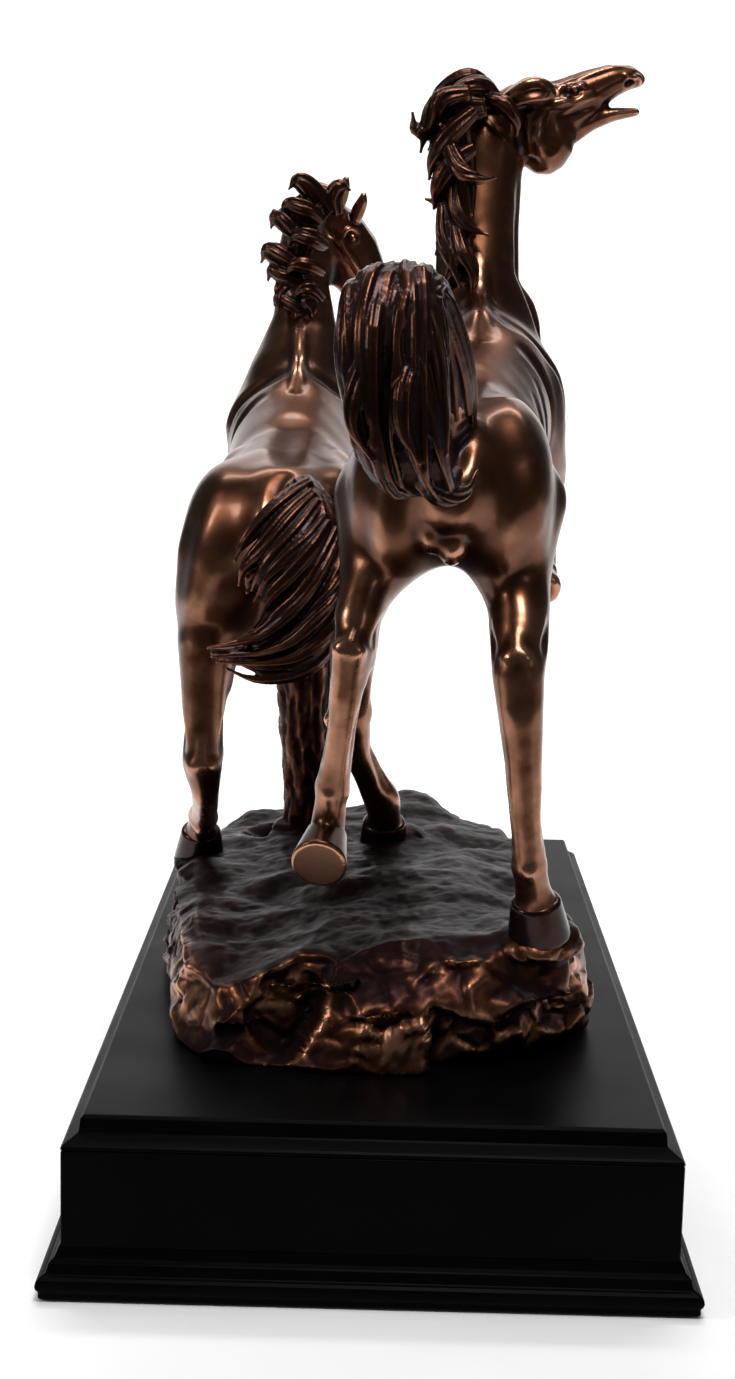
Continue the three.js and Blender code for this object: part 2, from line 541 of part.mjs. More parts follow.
// ---- horses ----
const hoofSolid = (leg, grow = 0) => loft(leg.hoof, X_SIDE, { sides: 12, flatEnd: true, grow });
const shankSolid = (leg, options = {}) => loft(leg.path, X_SIDE, { sides: 10, ...options });
const soleOf = (leg) => leg.hoof[leg.hoof.length - 1].slice(0, 3);
const pinHole = ([x, y, z], low, high) => rod(PIN_RADIUS + FIT, z + low, z + high).translate(x, y, 0);

function torsoSolid(horse, grow = 0) {
  const masses = horse.masses.map((mass) => ellipsoid(mass, grow));
  return union([loft(horse.torso, X_SIDE, { sides: 16, grow }), ...masses]);
}

function headSolid(horse, grow = 0) {
  const side = horse.headSide;
  const skull = loft(horse.head, side, { sides: 12, grow });
  const jaw = loft(horse.jaw, side, { sides: 8, grow });
  const ears = horse.ears.map((ear) => loft(ear, side, { sides: 6, grow }));
  return union([skull, jaw, ellipsoid(horse.jowl, grow), ...ears]);
}

function buildHorse(horse) {
  const neck = (options) => loft(horse.neck, horse.neckSide, { sides: 14, ...options });
  const tail = (options) => loft(horse.tail, horse.tailSide, { sides: 10, ...options });
  const thighs = Object.values(horse.legs).map((leg) => shankSolid(leg, { to: leg.cut }));
  const stumps = [neck({ to: horse.neckCut }), tail({ to: horse.tailCut }), ...thighs];
  const body = union([torsoSolid(horse), ...stumps]);
  const clearance = torsoSolid(horse, GAP);
  addPart(casting, `${horse.name}_body`, body, BRONZE);
  const headAndNeck = neck({ from: horse.neckCut }).add(headSolid(horse)).subtract(clearance);
  addPart(casting, `${horse.name}_neck_and_head`, mainBody(headAndNeck), BRONZE);
  const mane = loft(horse.mane, horse.neckSide, { sides: 8 })
    .subtract(neck({ grow: GAP }).add(headSolid(horse, GAP))).subtract(clearance);
  addPart(casting, `${horse.name}_mane`, mainBody(mane), DARK_BRONZE);
  const freeTail = tail({ from: horse.tailCut }).subtract(clearance);
  addPart(casting, `${horse.name}_tail`, mainBody(freeTail), DARK_BRONZE);
  for (const [name, leg] of Object.entries(horse.legs)) {
    let shin = shankSolid(leg, { from: leg.cut }).add(hoofSolid(leg)).subtract(clearance);
    if (leg.planted) shin = shin.subtract(pinHole(soleOf(leg), -PIN_HALF, PIN_HALF + GAP));
    addPart(casting, `${horse.name}_${name}`, mainBody(shin), BRONZE);
  }
}

function plantedLegs() {
  return [RIGHT_HORSE, LEFT_HORSE].flatMap((horse) => Object.entries(horse.legs)
    .filter(([, leg]) => leg.planted)
    .map(([name, leg]) => ({ name: `${horse.name}_${name}`, leg })));
}

function addRockAndStump() {
  const foot = STUMP[0].slice(0, 3);
  const stump = loft(STUMP, X_SIDE, { sides: 10 })
    .subtract(torsoSolid(LEFT_HORSE, GAP)).subtract(pinHole(foot, -2 * PIN_HALF, PIN_HALF + GAP));
  addPart(casting, 'tree_stump', mainBody(stump), DARK_BRONZE);

  const planted = plantedLegs();
  const seats = planted.map(({ leg }) => hoofSolid(leg, GAP).add(shankSolid(leg, { from: 5, grow: GAP })));
  const pinHoles = planted.map(({ leg }) => pinHole(soleOf(leg), -PIN_HALF - GAP, OVERCUT));
  const stumpSeat = loft(STUMP, X_SIDE, { sides: 10, grow: GAP });
  const stumpPin = pinHole(foot, -2 * PIN_HALF - GAP, OVERCUT);
  const insertLow = FOOT_Z + INSERT_RISE;
  const socket = rod(INSERT_RADIUS + FIT, insertLow - GAP, insertLow + INSERT_LENGTH + GAP)
    .add(rod(SCREW_SHANK + SCREW_CLEARANCE, FOOT_Z - OVERCUT, FOOT_Z + SCREW_REACH + OVERCUT));
  const sockets = SCREW_PLACES.map(([x, y]) => socket.translate(x, y, 0));
  const cuts = union([...seats, ...pinHoles, stumpSeat, stumpPin, ...sockets]);
  addPart(casting, 'rock_base', mainBody(rockSolid().subtract(cuts)), DARK_BRONZE);

  for (const { name, leg } of planted) {
    addPart(casting, `${name}_dowel`, rod(PIN_RADIUS, -PIN_HALF, PIN_HALF), STEEL, soleOf(leg));
  }
  addPart(casting, 'tree_stump_dowel', rod(PIN_RADIUS, -1.5 * PIN_HALF, PIN_HALF), STEEL, foot);
}

addPlinth();
addFasteners();
addRockAndStump();
buildHorse(RIGHT_HORSE);
buildHorse(LEFT_HORSE);

export default statue;
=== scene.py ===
"""The finished look of the bronze statue: two running horses on a rock, on a moulded black plinth.

Laid out as a Blender add-on: each operator builds one piece, or one group of like pieces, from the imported
frame.
"""

import math

import bmesh
import bpy
import numpy as np
from bpy.props import FloatProperty, FloatVectorProperty, IntProperty, PointerProperty
from mathutils import Euler, Matrix, Vector, noise


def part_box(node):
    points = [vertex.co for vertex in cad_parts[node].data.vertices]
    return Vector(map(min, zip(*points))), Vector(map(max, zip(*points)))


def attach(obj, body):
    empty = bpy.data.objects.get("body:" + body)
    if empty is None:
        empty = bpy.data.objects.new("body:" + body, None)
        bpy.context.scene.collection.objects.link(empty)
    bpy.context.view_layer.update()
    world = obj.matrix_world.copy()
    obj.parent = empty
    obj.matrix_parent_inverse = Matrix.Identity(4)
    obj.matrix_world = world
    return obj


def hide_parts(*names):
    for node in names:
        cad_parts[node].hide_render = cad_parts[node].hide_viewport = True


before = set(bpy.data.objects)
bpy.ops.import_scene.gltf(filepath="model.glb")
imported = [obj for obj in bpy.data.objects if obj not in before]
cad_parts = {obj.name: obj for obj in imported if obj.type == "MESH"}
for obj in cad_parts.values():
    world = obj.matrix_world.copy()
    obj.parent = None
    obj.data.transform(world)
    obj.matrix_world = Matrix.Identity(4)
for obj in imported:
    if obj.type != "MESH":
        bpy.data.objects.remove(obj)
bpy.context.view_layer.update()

bl_info = {
    "name": "Bronze horses statue",
    "version": (1, 0, 0),
    "blender": (4, 5, 0),
    "location": "View3D > Sidebar > Statue",
    "description": "Builds a bronze of two running horses on a rock and a moulded plinth",
    "category": "Object",
}

MM = 0.001
LIFT = 1.5  # mm from the plinth's underside to the datum that the casting's heights are counted from
HORSES = ("right_horse", "left_horse")
LEGS = ("hind_leg_right", "hind_leg_left", "fore_leg_right", "fore_leg_left")
SIDES = ("right", "far", "left", "near")
PLINTH_NODES = (
    "plinth_top_board",
    *[f"apron_board_{side}" for side in SIDES],
    *[f"base_moulding_{side}" for side in SIDES],
)

# Melting and smoothing: the grid's turn, and each core's grain in mm with its smoothing steps.
GRID_TURN = Euler((0.5, 0.62, 0.35)).to_matrix().to_4x4()
UPRIGHT_GRID = Matrix.Identity(4)
TRUNK_CORE = (2.9, 60)
LIMB_CORE = (1.5, 45)
WHOLE_CORE = (1.25, 40)
HEAD_CORE = (0.8, 30)
BARK_GRAIN = 0.9
SMOOTH_OUT, SMOOTH_BACK = 0.55, 0.57  # how far a smoothing step moves a point, and how far it is pushed back

# Spread in smoothing steps and height in mm that tell ridges from hollows, for each kind of surface.
SKIN_RELIEF = (22, 2.4)
FACE_RELIEF = (16, 1.3)
HAIR_RELIEF = (14, 1.5)
HOOF_RELIEF = (14, 4.0)
ROCK_RELIEF = (8, 2.0)
BARK_RELIEF = (10, 2.0)

# The stage, in metres and degrees.
FLOOR_HALF_WIDTH = 1.1
FLOOR_FRONT, FLOOR_DEPTH = -0.3, 1.5
COVE_RADIUS = 0.5
WALL_HEIGHT = 1.2
CAMERA_PLACE = (-0.0013, -0.7205, 0.2638)
CAMERA_YAW, CAMERA_PITCH, CAMERA_ROLL = -0.33, 9.55, 1.36
ROOM_LIGHT = 0.07  # how bright the empty room looks in reflections, against 1 behind the statue


# ---- colours and nodes ----
def linear(hex_code):
    """A colour given as an sRGB hex value, as the linear numbers that Blender stores."""
    channels = [int(hex_code[i:i + 2], 16) / 255 for i in (1, 3, 5)]
    return [c / 12.92 if c <= 0.04045 else ((c + 0.055) / 1.055) ** 2.4 for c in channels]


def add_node(tree, kind, settings=None, stops=(), **inputs):
    """Adds one node. An input is a value or another node's output; stops are a ramp's places and colours."""
    node = tree.nodes.new(kind)
    for name, value in (settings or {}).items():
        setattr(node, name, value)
    for count, (place, colour) in enumerate(stops):
        elements = node.color_ramp.elements
        element = elements[count] if count < 2 else elements.new(place)
        element.position = place
        element.color = (*colour, 1)
    for key, value in inputs.items():
        name = key.replace("_", " ")
        socket = node.inputs[int(name[5:])] if name.startswith("slot ") else node.inputs[name]
        if isinstance(value, bpy.types.NodeSocket):
            tree.links.new(value, socket)
        else:
            socket.default_value = value
    return node.outputs[0]


def new_material(name):
    """An empty material with its tree and its Principled shader."""
    material = bpy.data.materials.new(name)
    material.use_nodes = True
    tree = material.node_tree
    return material, tree, tree.nodes["Principled BSDF"]


def object_place(tree, stretch=(1, 1, 1)):
    """The place on the piece in metres, stretched along its axes."""
    coordinates = tree.nodes.new("ShaderNodeTexCoord").outputs["Object"]
    return add_node(tree, "ShaderNodeMapping", Vector=coordinates, Scale=stretch)


def bronze_plate(name, wear, gloss, shine, finish):
    """Copper-bronze plate on a casting, buffed and lacquered, with a purple-brown patina in the hollows.

    The eye gets a deep brown mirror, pinkish copper where ridges were worn bare, and near-black recesses.
    Wear moves the whole piece towards copper, gloss is the roughness of its ridges, and shine is how much of
    the lacquer's gloss is left.
    """
    material, tree, shader = new_material(name)
    rise = tree.nodes.new("ShaderNodeAttribute")
    rise.attribute_name = "rise"
    place = object_place(tree)
    mottle = add_node(tree, "ShaderNodeTexNoise", Vector=place, Scale=1 / (9 * MM), Detail=4)
    fine = add_node(tree, "ShaderNodeTexNoise", Vector=place, Scale=1 / (0.6 * MM), Detail=2)
    blotch = add_node(tree, "ShaderNodeMath", {"operation": "MULTIPLY_ADD"},
                      slot_0=mottle, slot_1=0.3, slot_2=wear)
    worn = add_node(tree, "ShaderNodeMath", {"operation": "ADD", "use_clamp": True},
                    slot_0=rise.outputs["Fac"], slot_1=blotch)
    colour = add_node(tree, "ShaderNodeValToRGB", Fac=worn, stops=[
        (0.05, linear("#100809")), (0.3, finish.patina), (0.52, finish.bronze), (0.85, finish.copper),
    ])
    tree.links.new(colour, shader.inputs["Base Color"])
    bare = add_node(tree, "ShaderNodeMapRange", Value=worn,
                    slot_1=0.08, slot_2=0.38, slot_3=0.35 * shine, slot_4=1.0)
    tree.links.new(bare, shader.inputs["Metallic"])
    rough = add_node(tree, "ShaderNodeMapRange", Value=worn,
                     slot_1=0.1, slot_2=0.75, slot_3=gloss + 0.14, slot_4=gloss)
    tree.links.new(rough, shader.inputs["Roughness"])
    shader.inputs["Specular IOR Level"].default_value = 0.5 * shine
    shader.inputs["Coat Weight"].default_value = 0.2 * shine ** 2
    shader.inputs["Coat Roughness"].default_value = 0.1
    bump = add_node(tree, "ShaderNodeBump", Strength=0.1, Distance=0.08 * MM, Height=fine)
    tree.links.new(bump, shader.inputs["Normal"])
    return material


def black_lacquer(finish):
    """Satin black lacquer sprayed on wood: near black, with a soft sheen and a faint orange-peel ripple."""
    material, tree, shader = new_material("satin_black_lacquer")
    place = object_place(tree)
    haze = add_node(tree, "ShaderNodeTexNoise", Vector=place, Scale=1 / (35 * MM), Detail=5)
    peel = add_node(tree, "ShaderNodeTexNoise", Vector=place, Scale=1 / (1.2 * MM), Detail=2)
    colour = add_node(tree, "ShaderNodeValToRGB", Fac=haze, stops=[
        (0.35, finish.lacquer), (0.75, linear("#060607")),
    ])
    tree.links.new(colour, shader.inputs["Base Color"])
    rough = add_node(tree, "ShaderNodeMapRange", Value=haze,
                     slot_1=0.3, slot_2=0.7, slot_3=0.36, slot_4=0.44)
    tree.links.new(rough, shader.inputs["Roughness"])
    shader.inputs["Specular IOR Level"].default_value = 0.025
    bump = add_node(tree, "ShaderNodeBump", Strength=0.06, Distance=0.08 * MM, Height=peel)
    tree.links.new(bump, shader.inputs["Normal"])
    return material


def sawn_pine():
    """Softwood, sawn and unfinished: pale straw brown, matt, with long brown grain."""
    material, tree, shader = new_material("sawn_pine")
    place = object_place(tree, (1, 0.06, 1))
    grain = add_node(tree, "ShaderNodeTexNoise", Vector=place, Scale=1 / (1.5 * MM), Detail=4)
    colour = add_node(tree, "ShaderNodeValToRGB", Fac=grain, stops=[
        (0.3, linear("#8A6A42")), (0.7, linear("#C8A877")),
    ])
    tree.links.new(colour, shader.inputs["Base Color"])
    shader.inputs["Roughness"].default_value = 0.75
    bump = add_node(tree, "ShaderNodeBump", Strength=0.3, Distance=0.15 * MM, Height=grain)
    tree.links.new(bump, shader.inputs["Normal"])
    return material


def pressed_felt():
    """Pressed wool felt: matt charcoal fibres with a soft fuzz at grazing angles."""
    material, tree, shader = new_material("pressed_felt")
    place = object_place(tree)
    fibres = add_node(tree, "ShaderNodeTexNoise", Vector=place, Scale=1 / (0.35 * MM), Detail=6)
    colour = add_node(tree, "ShaderNodeValToRGB", Fac=fibres, stops=[
        (0.3, linear("#0D0D0F")), (0.7, linear("#2A2A2E")),
    ])
    tree.links.new(colour, shader.inputs["Base Color"])
    shader.inputs["Roughness"].default_value = 0.95
    shader.inputs["Sheen Weight"].default_value = 0.4
    bump = add_node(tree, "ShaderNodeBump", Strength=0.6, Distance=0.2 * MM, Height=fibres)
    tree.links.new(bump, shader.inputs["Normal"])
    return material


def turned_metal(name, dark, light, roughness):
    """Turned and plated hardware: bright metal with fine rings left by the tool."""
    material, tree, shader = new_material(name)
    place = object_place(tree, (0.2, 0.2, 4))
    marks = add_node(tree, "ShaderNodeTexNoise", Vector=place, Scale=1 / (0.8 * MM), Detail=3)
    colour = add_node(tree, "ShaderNodeValToRGB", Fac=marks, stops=[
        (0.35, linear(dark)), (0.65, linear(light)),
    ])
    tree.links.new(colour, shader.inputs["Base Color"])
    shader.inputs["Metallic"].default_value = 1.0
    shader.inputs["Roughness"].default_value = roughness
    bump = add_node(tree, "ShaderNodeBump", Strength=0.15, Distance=0.05 * MM, Height=marks)
    tree.links.new(bump, shader.inputs["Normal"])
    return material


# ---- meshes ----
def mesh_from(bm, name):
    """A new object at the origin from a bmesh, which is freed."""
    mesh = bpy.data.meshes.new(name)
    bm.to_mesh(mesh)
    bm.free()
    piece = bpy.data.objects.new(name, mesh)
    bpy.context.scene.collection.objects.link(piece)
    return piece


def at(point):
    """A point of the casting in millimetres, as a place in metres."""
    return Vector((point[0], point[1], point[2] + LIFT)) * MM


def cad_copies(*nodes):
    """A bmesh of copies of CAD nodes, each merged into closed bodies."""
    bm = bmesh.new()
    for node in nodes:
        bm.from_mesh(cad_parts[node].data)
    bmesh.ops.remove_doubles(bm, verts=bm.verts, dist=0.002 * MM)
    return bm


def add_ball(bm, centre, radii, turn=(0, 0, 0)):
    """An ellipsoid of the casting, turned by degrees about X, Y and Z."""
    turned = Euler([math.radians(angle) for angle in turn]).to_matrix().to_4x4()
    scaling = Matrix.Diagonal((*[radius * MM for radius in radii], 1))
    placing = Matrix.Translation(at(centre)) @ turned @ scaling
    bmesh.ops.create_icosphere(bm, subdivisions=3, radius=1, matrix=placing)


def placed_along(a, b):
    """The placing of a shape halfway from one place to another, with its Z axis along the way."""
    return Matrix.Translation((a + b) / 2) @ (b - a).to_track_quat("Z", "Y").to_matrix().to_4x4()


def add_bone(bm, start, end, start_radius, end_radius):
    """A tapered rod with rounded ends, for a bone or a tendon."""
    a, b = at(start), at(end)
    bmesh.ops.create_cone(bm, cap_ends=True, segments=16, radius1=start_radius * MM,
                          radius2=end_radius * MM, depth=(b - a).length, matrix=placed_along(a, b))
    add_ball(bm, start, [start_radius] * 3)
    add_ball(bm, end, [end_radius] * 3)


def applied(piece):
    """Bakes the piece's modifiers into its mesh."""
    depsgraph = bpy.context.evaluated_depsgraph_get()
    finished = bpy.data.meshes.new_from_object(piece.evaluated_get(depsgraph))
    finished.name = piece.name
    piece.modifiers.clear()
    old = piece.data
    piece.data = finished
    bpy.data.meshes.remove(old)
    return piece


def fuse(piece, grain_mm, turn=GRID_TURN):
    """Melts overlapping closed bodies into one skin of even quads.

    The grid is turned so that no leg or back lies along it, which would leave steps.
    """
    piece.data.transform(turn)
    modifier = piece.modifiers.new("fuse", "REMESH")
    modifier.mode = "VOXEL"
    modifier.voxel_size = grain_mm * MM
    modifier.use_smooth_shade = True
    applied(piece).data.transform(turn.inverted())
    return piece


class Skin:
    """A mesh's points in the casting's millimetres, for sculpting in code."""

    def __init__(self, piece):
        self.mesh = piece.data
        count = len(self.mesh.vertices)
        flat = np.empty(count * 3)
        self.mesh.vertices.foreach_get("co", flat)
        self.points = flat.reshape(-1, 3) / MM - (0, 0, LIFT)
        ends = np.empty(len(self.mesh.edges) * 2, int)
        self.mesh.edges.foreach_get("vertices", ends)
        ends = ends.reshape(-1, 2)
        self.one = np.concatenate([ends[:, 0], ends[:, 1]])
        self.other = np.concatenate([ends[:, 1], ends[:, 0]])
        self.links = np.maximum(np.bincount(self.one, minlength=count), 1)

    def around(self, values):
        """The mean of each point's neighbours."""
        if values.ndim == 1:
            return np.bincount(self.one, values[self.other], len(values)) / self.links
        return np.stack([self.around(column) for column in values.T], 1)

    def smooth(self, steps):
        """Evens out facets and seams without thinning the shape."""
        for _ in range(steps):
            for share in (SMOOTH_OUT, -SMOOTH_BACK):
                self.points += share * (self.around(self.points) - self.points)

    def melt(self, centre, radius, steps):
        """Softens creases inside a ball."""
        offset = self.points - centre
        share = 0.5 * np.clip(1 - (offset ** 2).sum(1) / radius ** 2, 0, 1)[:, None]
        for _ in range(steps):
            self.points += share * (self.around(self.points) - self.points)

    def normals(self):
        """Outward unit normals of the points as they are now."""
        self.store()
        flat = np.empty(len(self.points) * 3)
        self.mesh.vertices.foreach_get("normal", flat)
        return flat.reshape(-1, 3)

    def store(self):
        """Writes the points back to the mesh."""
        self.mesh.vertices.foreach_set("co", ((self.points + (0, 0, LIFT)) * MM).ravel())
        self.mesh.update()

    def snapped(self, path, step):
        """A path through rough places, laid on the nearest points of the skin and evened."""
        rough = np.array(path, float)
        if len(rough) > 1:
            length = np.linalg.norm(np.diff(rough, axis=0), axis=1).sum()
            rough = through(rough, max(4, int(length / step)))
        laid = np.array([self.points[np.argmin(((self.points - p) ** 2).sum(1))] for p in rough])
        for _ in range(6):
            laid[1:-1] = (laid[:-2] + 2 * laid[1:-1] + laid[2:]) / 4
        return laid

    def stroke(self, path, radius, height, normals):
        """Raises (or, below zero, cuts) the skin along a path, softly out to the radius."""
        laid = self.snapped(path, radius * 0.22)
        low, high = laid.min(0) - radius, laid.max(0) + radius
        near = np.flatnonzero(((self.points > low) & (self.points < high)).all(1))
        if not len(near):
            return
        shift = np.zeros(len(near))
        for n, p in enumerate(laid):
            along = n / max(1, len(laid) - 1)
            share = math.sin(math.pi * (0.12 + 0.76 * along)) if len(laid) > 1 else 1.0
            distance = ((self.points[near] - p) ** 2).sum(1) / radius ** 2
            shift = np.maximum(shift, share * np.clip(1 - distance, 0, 1) ** 2)
        self.points[near] += normals[near] * (shift * height)[:, None]

    def mark_rise(self, spread, scale, extra=0.0):
        """Stores how far each point stands above the skin around it: ridges near 1, hollows near 0."""
        normals = self.normals()
        smoothed = self.points.copy()
        for _ in range(spread):
            smoothed += 0.5 * (self.around(smoothed) - smoothed)
        height = ((self.points - smoothed) * normals).sum(1)
        rise = np.clip(0.5 + height / scale + extra, 0, 1)
        for _ in range(2):
            rise += 0.5 * (self.around(rise) - rise)
        attribute = self.mesh.attributes.get("rise") or self.mesh.attributes.new("rise", "FLOAT", "POINT")
        attribute.data.foreach_set("value", rise.astype(np.float32))


def smoothed_core(bm, name, coarse):
    """Closed bodies melted coarsely and evened until no facet is left, as the start of a finer skin."""
    grain_mm, steps = coarse
    core = fuse(mesh_from(bm, name), grain_mm)
    skin = Skin(core)
    skin.smooth(steps)
    skin.store()
    started = bmesh.new()
    started.from_mesh(core.data)
    bpy.data.objects.remove(core)
    return started


def finish_piece(piece, material, slot, *replaced):
    """Gives a piece its finish, its body and the CAD nodes it stands for."""
    piece.data.materials.clear()
    piece.data.materials.append(material)
    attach(piece, "root")
    if replaced:
        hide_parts(*replaced)


def shade_smooth(piece):
    """Smooth shading all over."""
    piece.data.polygons.foreach_set("use_smooth", [True] * len(piece.data.polygons))


def through(points, count):
    """A smooth path of count points through the given ones."""
    rough = np.array(points, float)
    padded = np.vstack([2 * rough[0] - rough[1], rough, 2 * rough[-1] - rough[-2]])
    places = np.linspace(0, len(rough) - 1, count)
    start = np.minimum(places.astype(int), len(rough) - 2)
    t = (places - start)[:, None]
    a, b, c, d = (padded[start + k] for k in range(4))
    return 0.5 * (2 * b + (c - a) * t + (2 * a - 5 * b + 4 * c - d) * t ** 2
                  + (3 * b - a - 3 * c + d) * t ** 3)


def strand_mesh(name, strands):
    """Tapered strands as one mesh; each strand is its path in millimetres and its radii."""
    curve = bpy.data.curves.new(name, "CURVE")
    curve.dimensions = "3D"
    curve.bevel_depth = MM
    curve.bevel_resolution = 2
    curve.use_fill_caps = True
    for path, radii in strands:
        spline = curve.splines.new("POLY")
        spline.points.add(len(path) - 1)
        flat = np.hstack([(np.asarray(path) + (0, 0, LIFT)) * MM, np.ones((len(path), 1))])
        spline.points.foreach_set("co", flat.ravel())
        spline.points.foreach_set("radius", np.asarray(radii, float))
    holder = bpy.data.objects.new(name, curve)
    bpy.context.scene.collection.objects.link(holder)
    depsgraph = bpy.context.evaluated_depsgraph_get()
    mesh = bpy.data.meshes.new_from_object(holder.evaluated_get(depsgraph))
    bpy.data.objects.remove(holder)
    bpy.data.curves.remove(curve)
    return mesh


def keep_shell(piece):
    """Keeps only the largest closed shell of a fused piece."""
    bm = bmesh.new()
    bm.from_mesh(piece.data)
    seen, shells = set(), []
    for seed in bm.verts:
        if seed in seen:
            continue
        seen.add(seed)
        shell, stack = [], [seed]
        while stack:
            vert = stack.pop()
            shell.append(vert)
            for edge in vert.link_edges:
                other = edge.other_vert(vert)
                if other not in seen:
                    seen.add(other)
                    stack.append(other)
        shells.append(shell)
    shells.sort(key=len)
    loose = [vert for shell in shells[:-1] for vert in shell]
    bmesh.ops.delete(bm, geom=loose, context="VERTS")
    bm.to_mesh(piece.data)
    bm.free()
    return piece


# ---- the horses' forms, in the casting's millimetres ----
HIND_LEGS = {  # stifle, hock, fetlock, coronet and toe
    "right_horse": {
        "right": [(38, -100, 201), (38.8, -122, 169), (44, -120, 110), (46.6, -114.5, 98.5),
                  (48.4, -111, 86.5)],
        "left": [(-3, -103, 202), (-9.4, -119, 172), (-14.6, -107, 129), (-16, -105.5, 114.5),
                 (-17.8, -119, 108.8)],
    },
    "left_horse": {
        "left": [(-57.5, -18, 176), (-60.2, -26, 122), (-62, -2, 95), (-63.4, 8, 88), (-64.4, 13, 76.5)],
        "right": [(-11, -14, 176), (-10.5, -13, 135), (0.5, 6, 101), (1.5, 12, 92), (1.6, 16.5, 80.5)],
    },
}
FORE_LEGS = {  # elbow, knee, cannon's turn, fetlock, coronet and toe
    "right_horse": {
        "right": [(54, 14, 222), (57.8, 41, 201), (57.5, 34, 185), (56.5, 27, 180.5), (56, 18, 179),
                  (55.5, 10, 176)],
        "left": [(16, 18, 225), (11, 51, 215), (10.5, 50, 198), (11, 43, 192.5), (11, 36, 189.5),
                 (11, 28, 185.4)],
    },
    "left_horse": {
        "left": [(-52.5, 99, 198), (-55.5, 131, 180), (-55, 128, 162), (-54.5, 120, 157), (-54.5, 111, 154),
                 (-54.5, 103, 150.5)],
        "right": [(-17.5, 100, 201), (-14.5, 136, 190), (-14.5, 138, 169), (-14.5, 133, 159),
                  (-14.5, 128, 151), (-14.5, 123, 142)],
    },
}
HOOF_WIDTHS = {  # half width at the coronet and at the sole
    ("right_horse", "right"): (6.5, 8.7), ("right_horse", "left"): (5.2, 7.5),
    ("left_horse", "left"): (6.0, 8.2), ("left_horse", "right"): (6.6, 8.2),
}
RAISED_HOOF = ("right_horse", "left")
MUSCLES = {  # centre, radii, turn in degrees
    "right_horse": [
        ((50, 6, 238), (10, 16, 22), (15, 0, 0)), ((12, 6, 238), (9, 16, 22), (15, 0, 0)),
        ((37, -86, 207), (9, 11, 15), (0, 0, 0)), ((0, -86, 207), (9, 11, 15), (0, 0, 0)),
        ((21, -70, 232), (21, 40, 16), (4, 0, 0)),
    ],
    "left_horse": [
        ((-52, 86, 220), (10, 17, 24), (15, 0, 0)), ((-17, 86, 220), (9.5, 17, 24), (15, 0, 0)),
        ((-55, -2, 182), (9, 11, 15), (0, 0, 0)), ((-15, -2, 182), (9, 11, 15), (0, 0, 0)),
        ((-35, 8, 209), (23, 40, 16), (4, 0, 0)),
    ],
}
BRIDGES = {  # muscles that run from trunk to neck or leg: start, end and their radii
    "right_horse": [
        ((29, 19, 286), (44, 8, 244), 12.5, 14), ((29, 19, 286), (15, 8, 244), 12.5, 14),
        ((29, 18, 280), (27, -34, 243), 7, 9.5), ((29, 24, 284), (34, 20, 250), 12, 16),
        ((27, -104, 212), (38.5, -108, 186), 13, 8.6), ((8, -104, 212), (-4.5, -109, 190), 13, 8.2),
        ((39, -99, 216), (38.6, -113, 180), 14, 7.6), ((-3, -99, 216), (-6.5, -112, 186), 13.5, 7.2),
        ((52, 10, 232), (55.5, 20, 216), 9, 7), ((18, 10, 232), (15, 23, 221), 9, 7),
    ],
    "left_horse": [
        ((-34, 102, 268), (-49, 88, 226), 11.5, 14), ((-34, 102, 268), (-20, 88, 226), 11.5, 14),
        ((-34, 102, 262), (-35, 46, 223), 6.5, 9.5), ((-34, 106, 266), (-34, 100, 232), 11, 16),
        ((-45, -18, 188), (-58.5, -22, 156), 13, 9.2), ((-24, -18, 188), (-11, -14.5, 158), 13, 8.2),
        ((-56, -14, 192), (-59.2, -23, 144), 13.5, 8), ((-13, -14, 190), (-10.6, -14, 152), 13, 7.6),
        ((-50, 92, 208), (-53.5, 104, 193), 9, 7), ((-20, 92, 208), (-17, 106, 198), 9, 7),
    ],
}
SOFT = {  # places where muscles run into each other: centre, radius, steps
    "right_horse": [
        ((39, -112, 199), 22, 70), ((-4, -111, 200), 22, 70), ((28, -10, 262), 22, 50),
        ((15, -129, 210), 9, 5), ((38.8, -130, 164), 8, 14), ((-9.4, -127, 167), 8, 14),
    ],
    "left_horse": [
        ((-57, -24, 172), 22, 70), ((-12, -20, 174), 20, 70), ((-34.5, 74, 238), 20, 50),
        ((-60.2, -34, 118), 8, 14), ((-10.5, -21, 131), 8, 14),
    ],
}
DETAILS = {  # small forms added to the fine skin: centre and radii
    "right_horse": [((12.4, -126, 209), (4.6, 7, 7.4)), ((18.2, -126, 206), (4.8, 7, 7.6))],
    "left_horse": [],
}
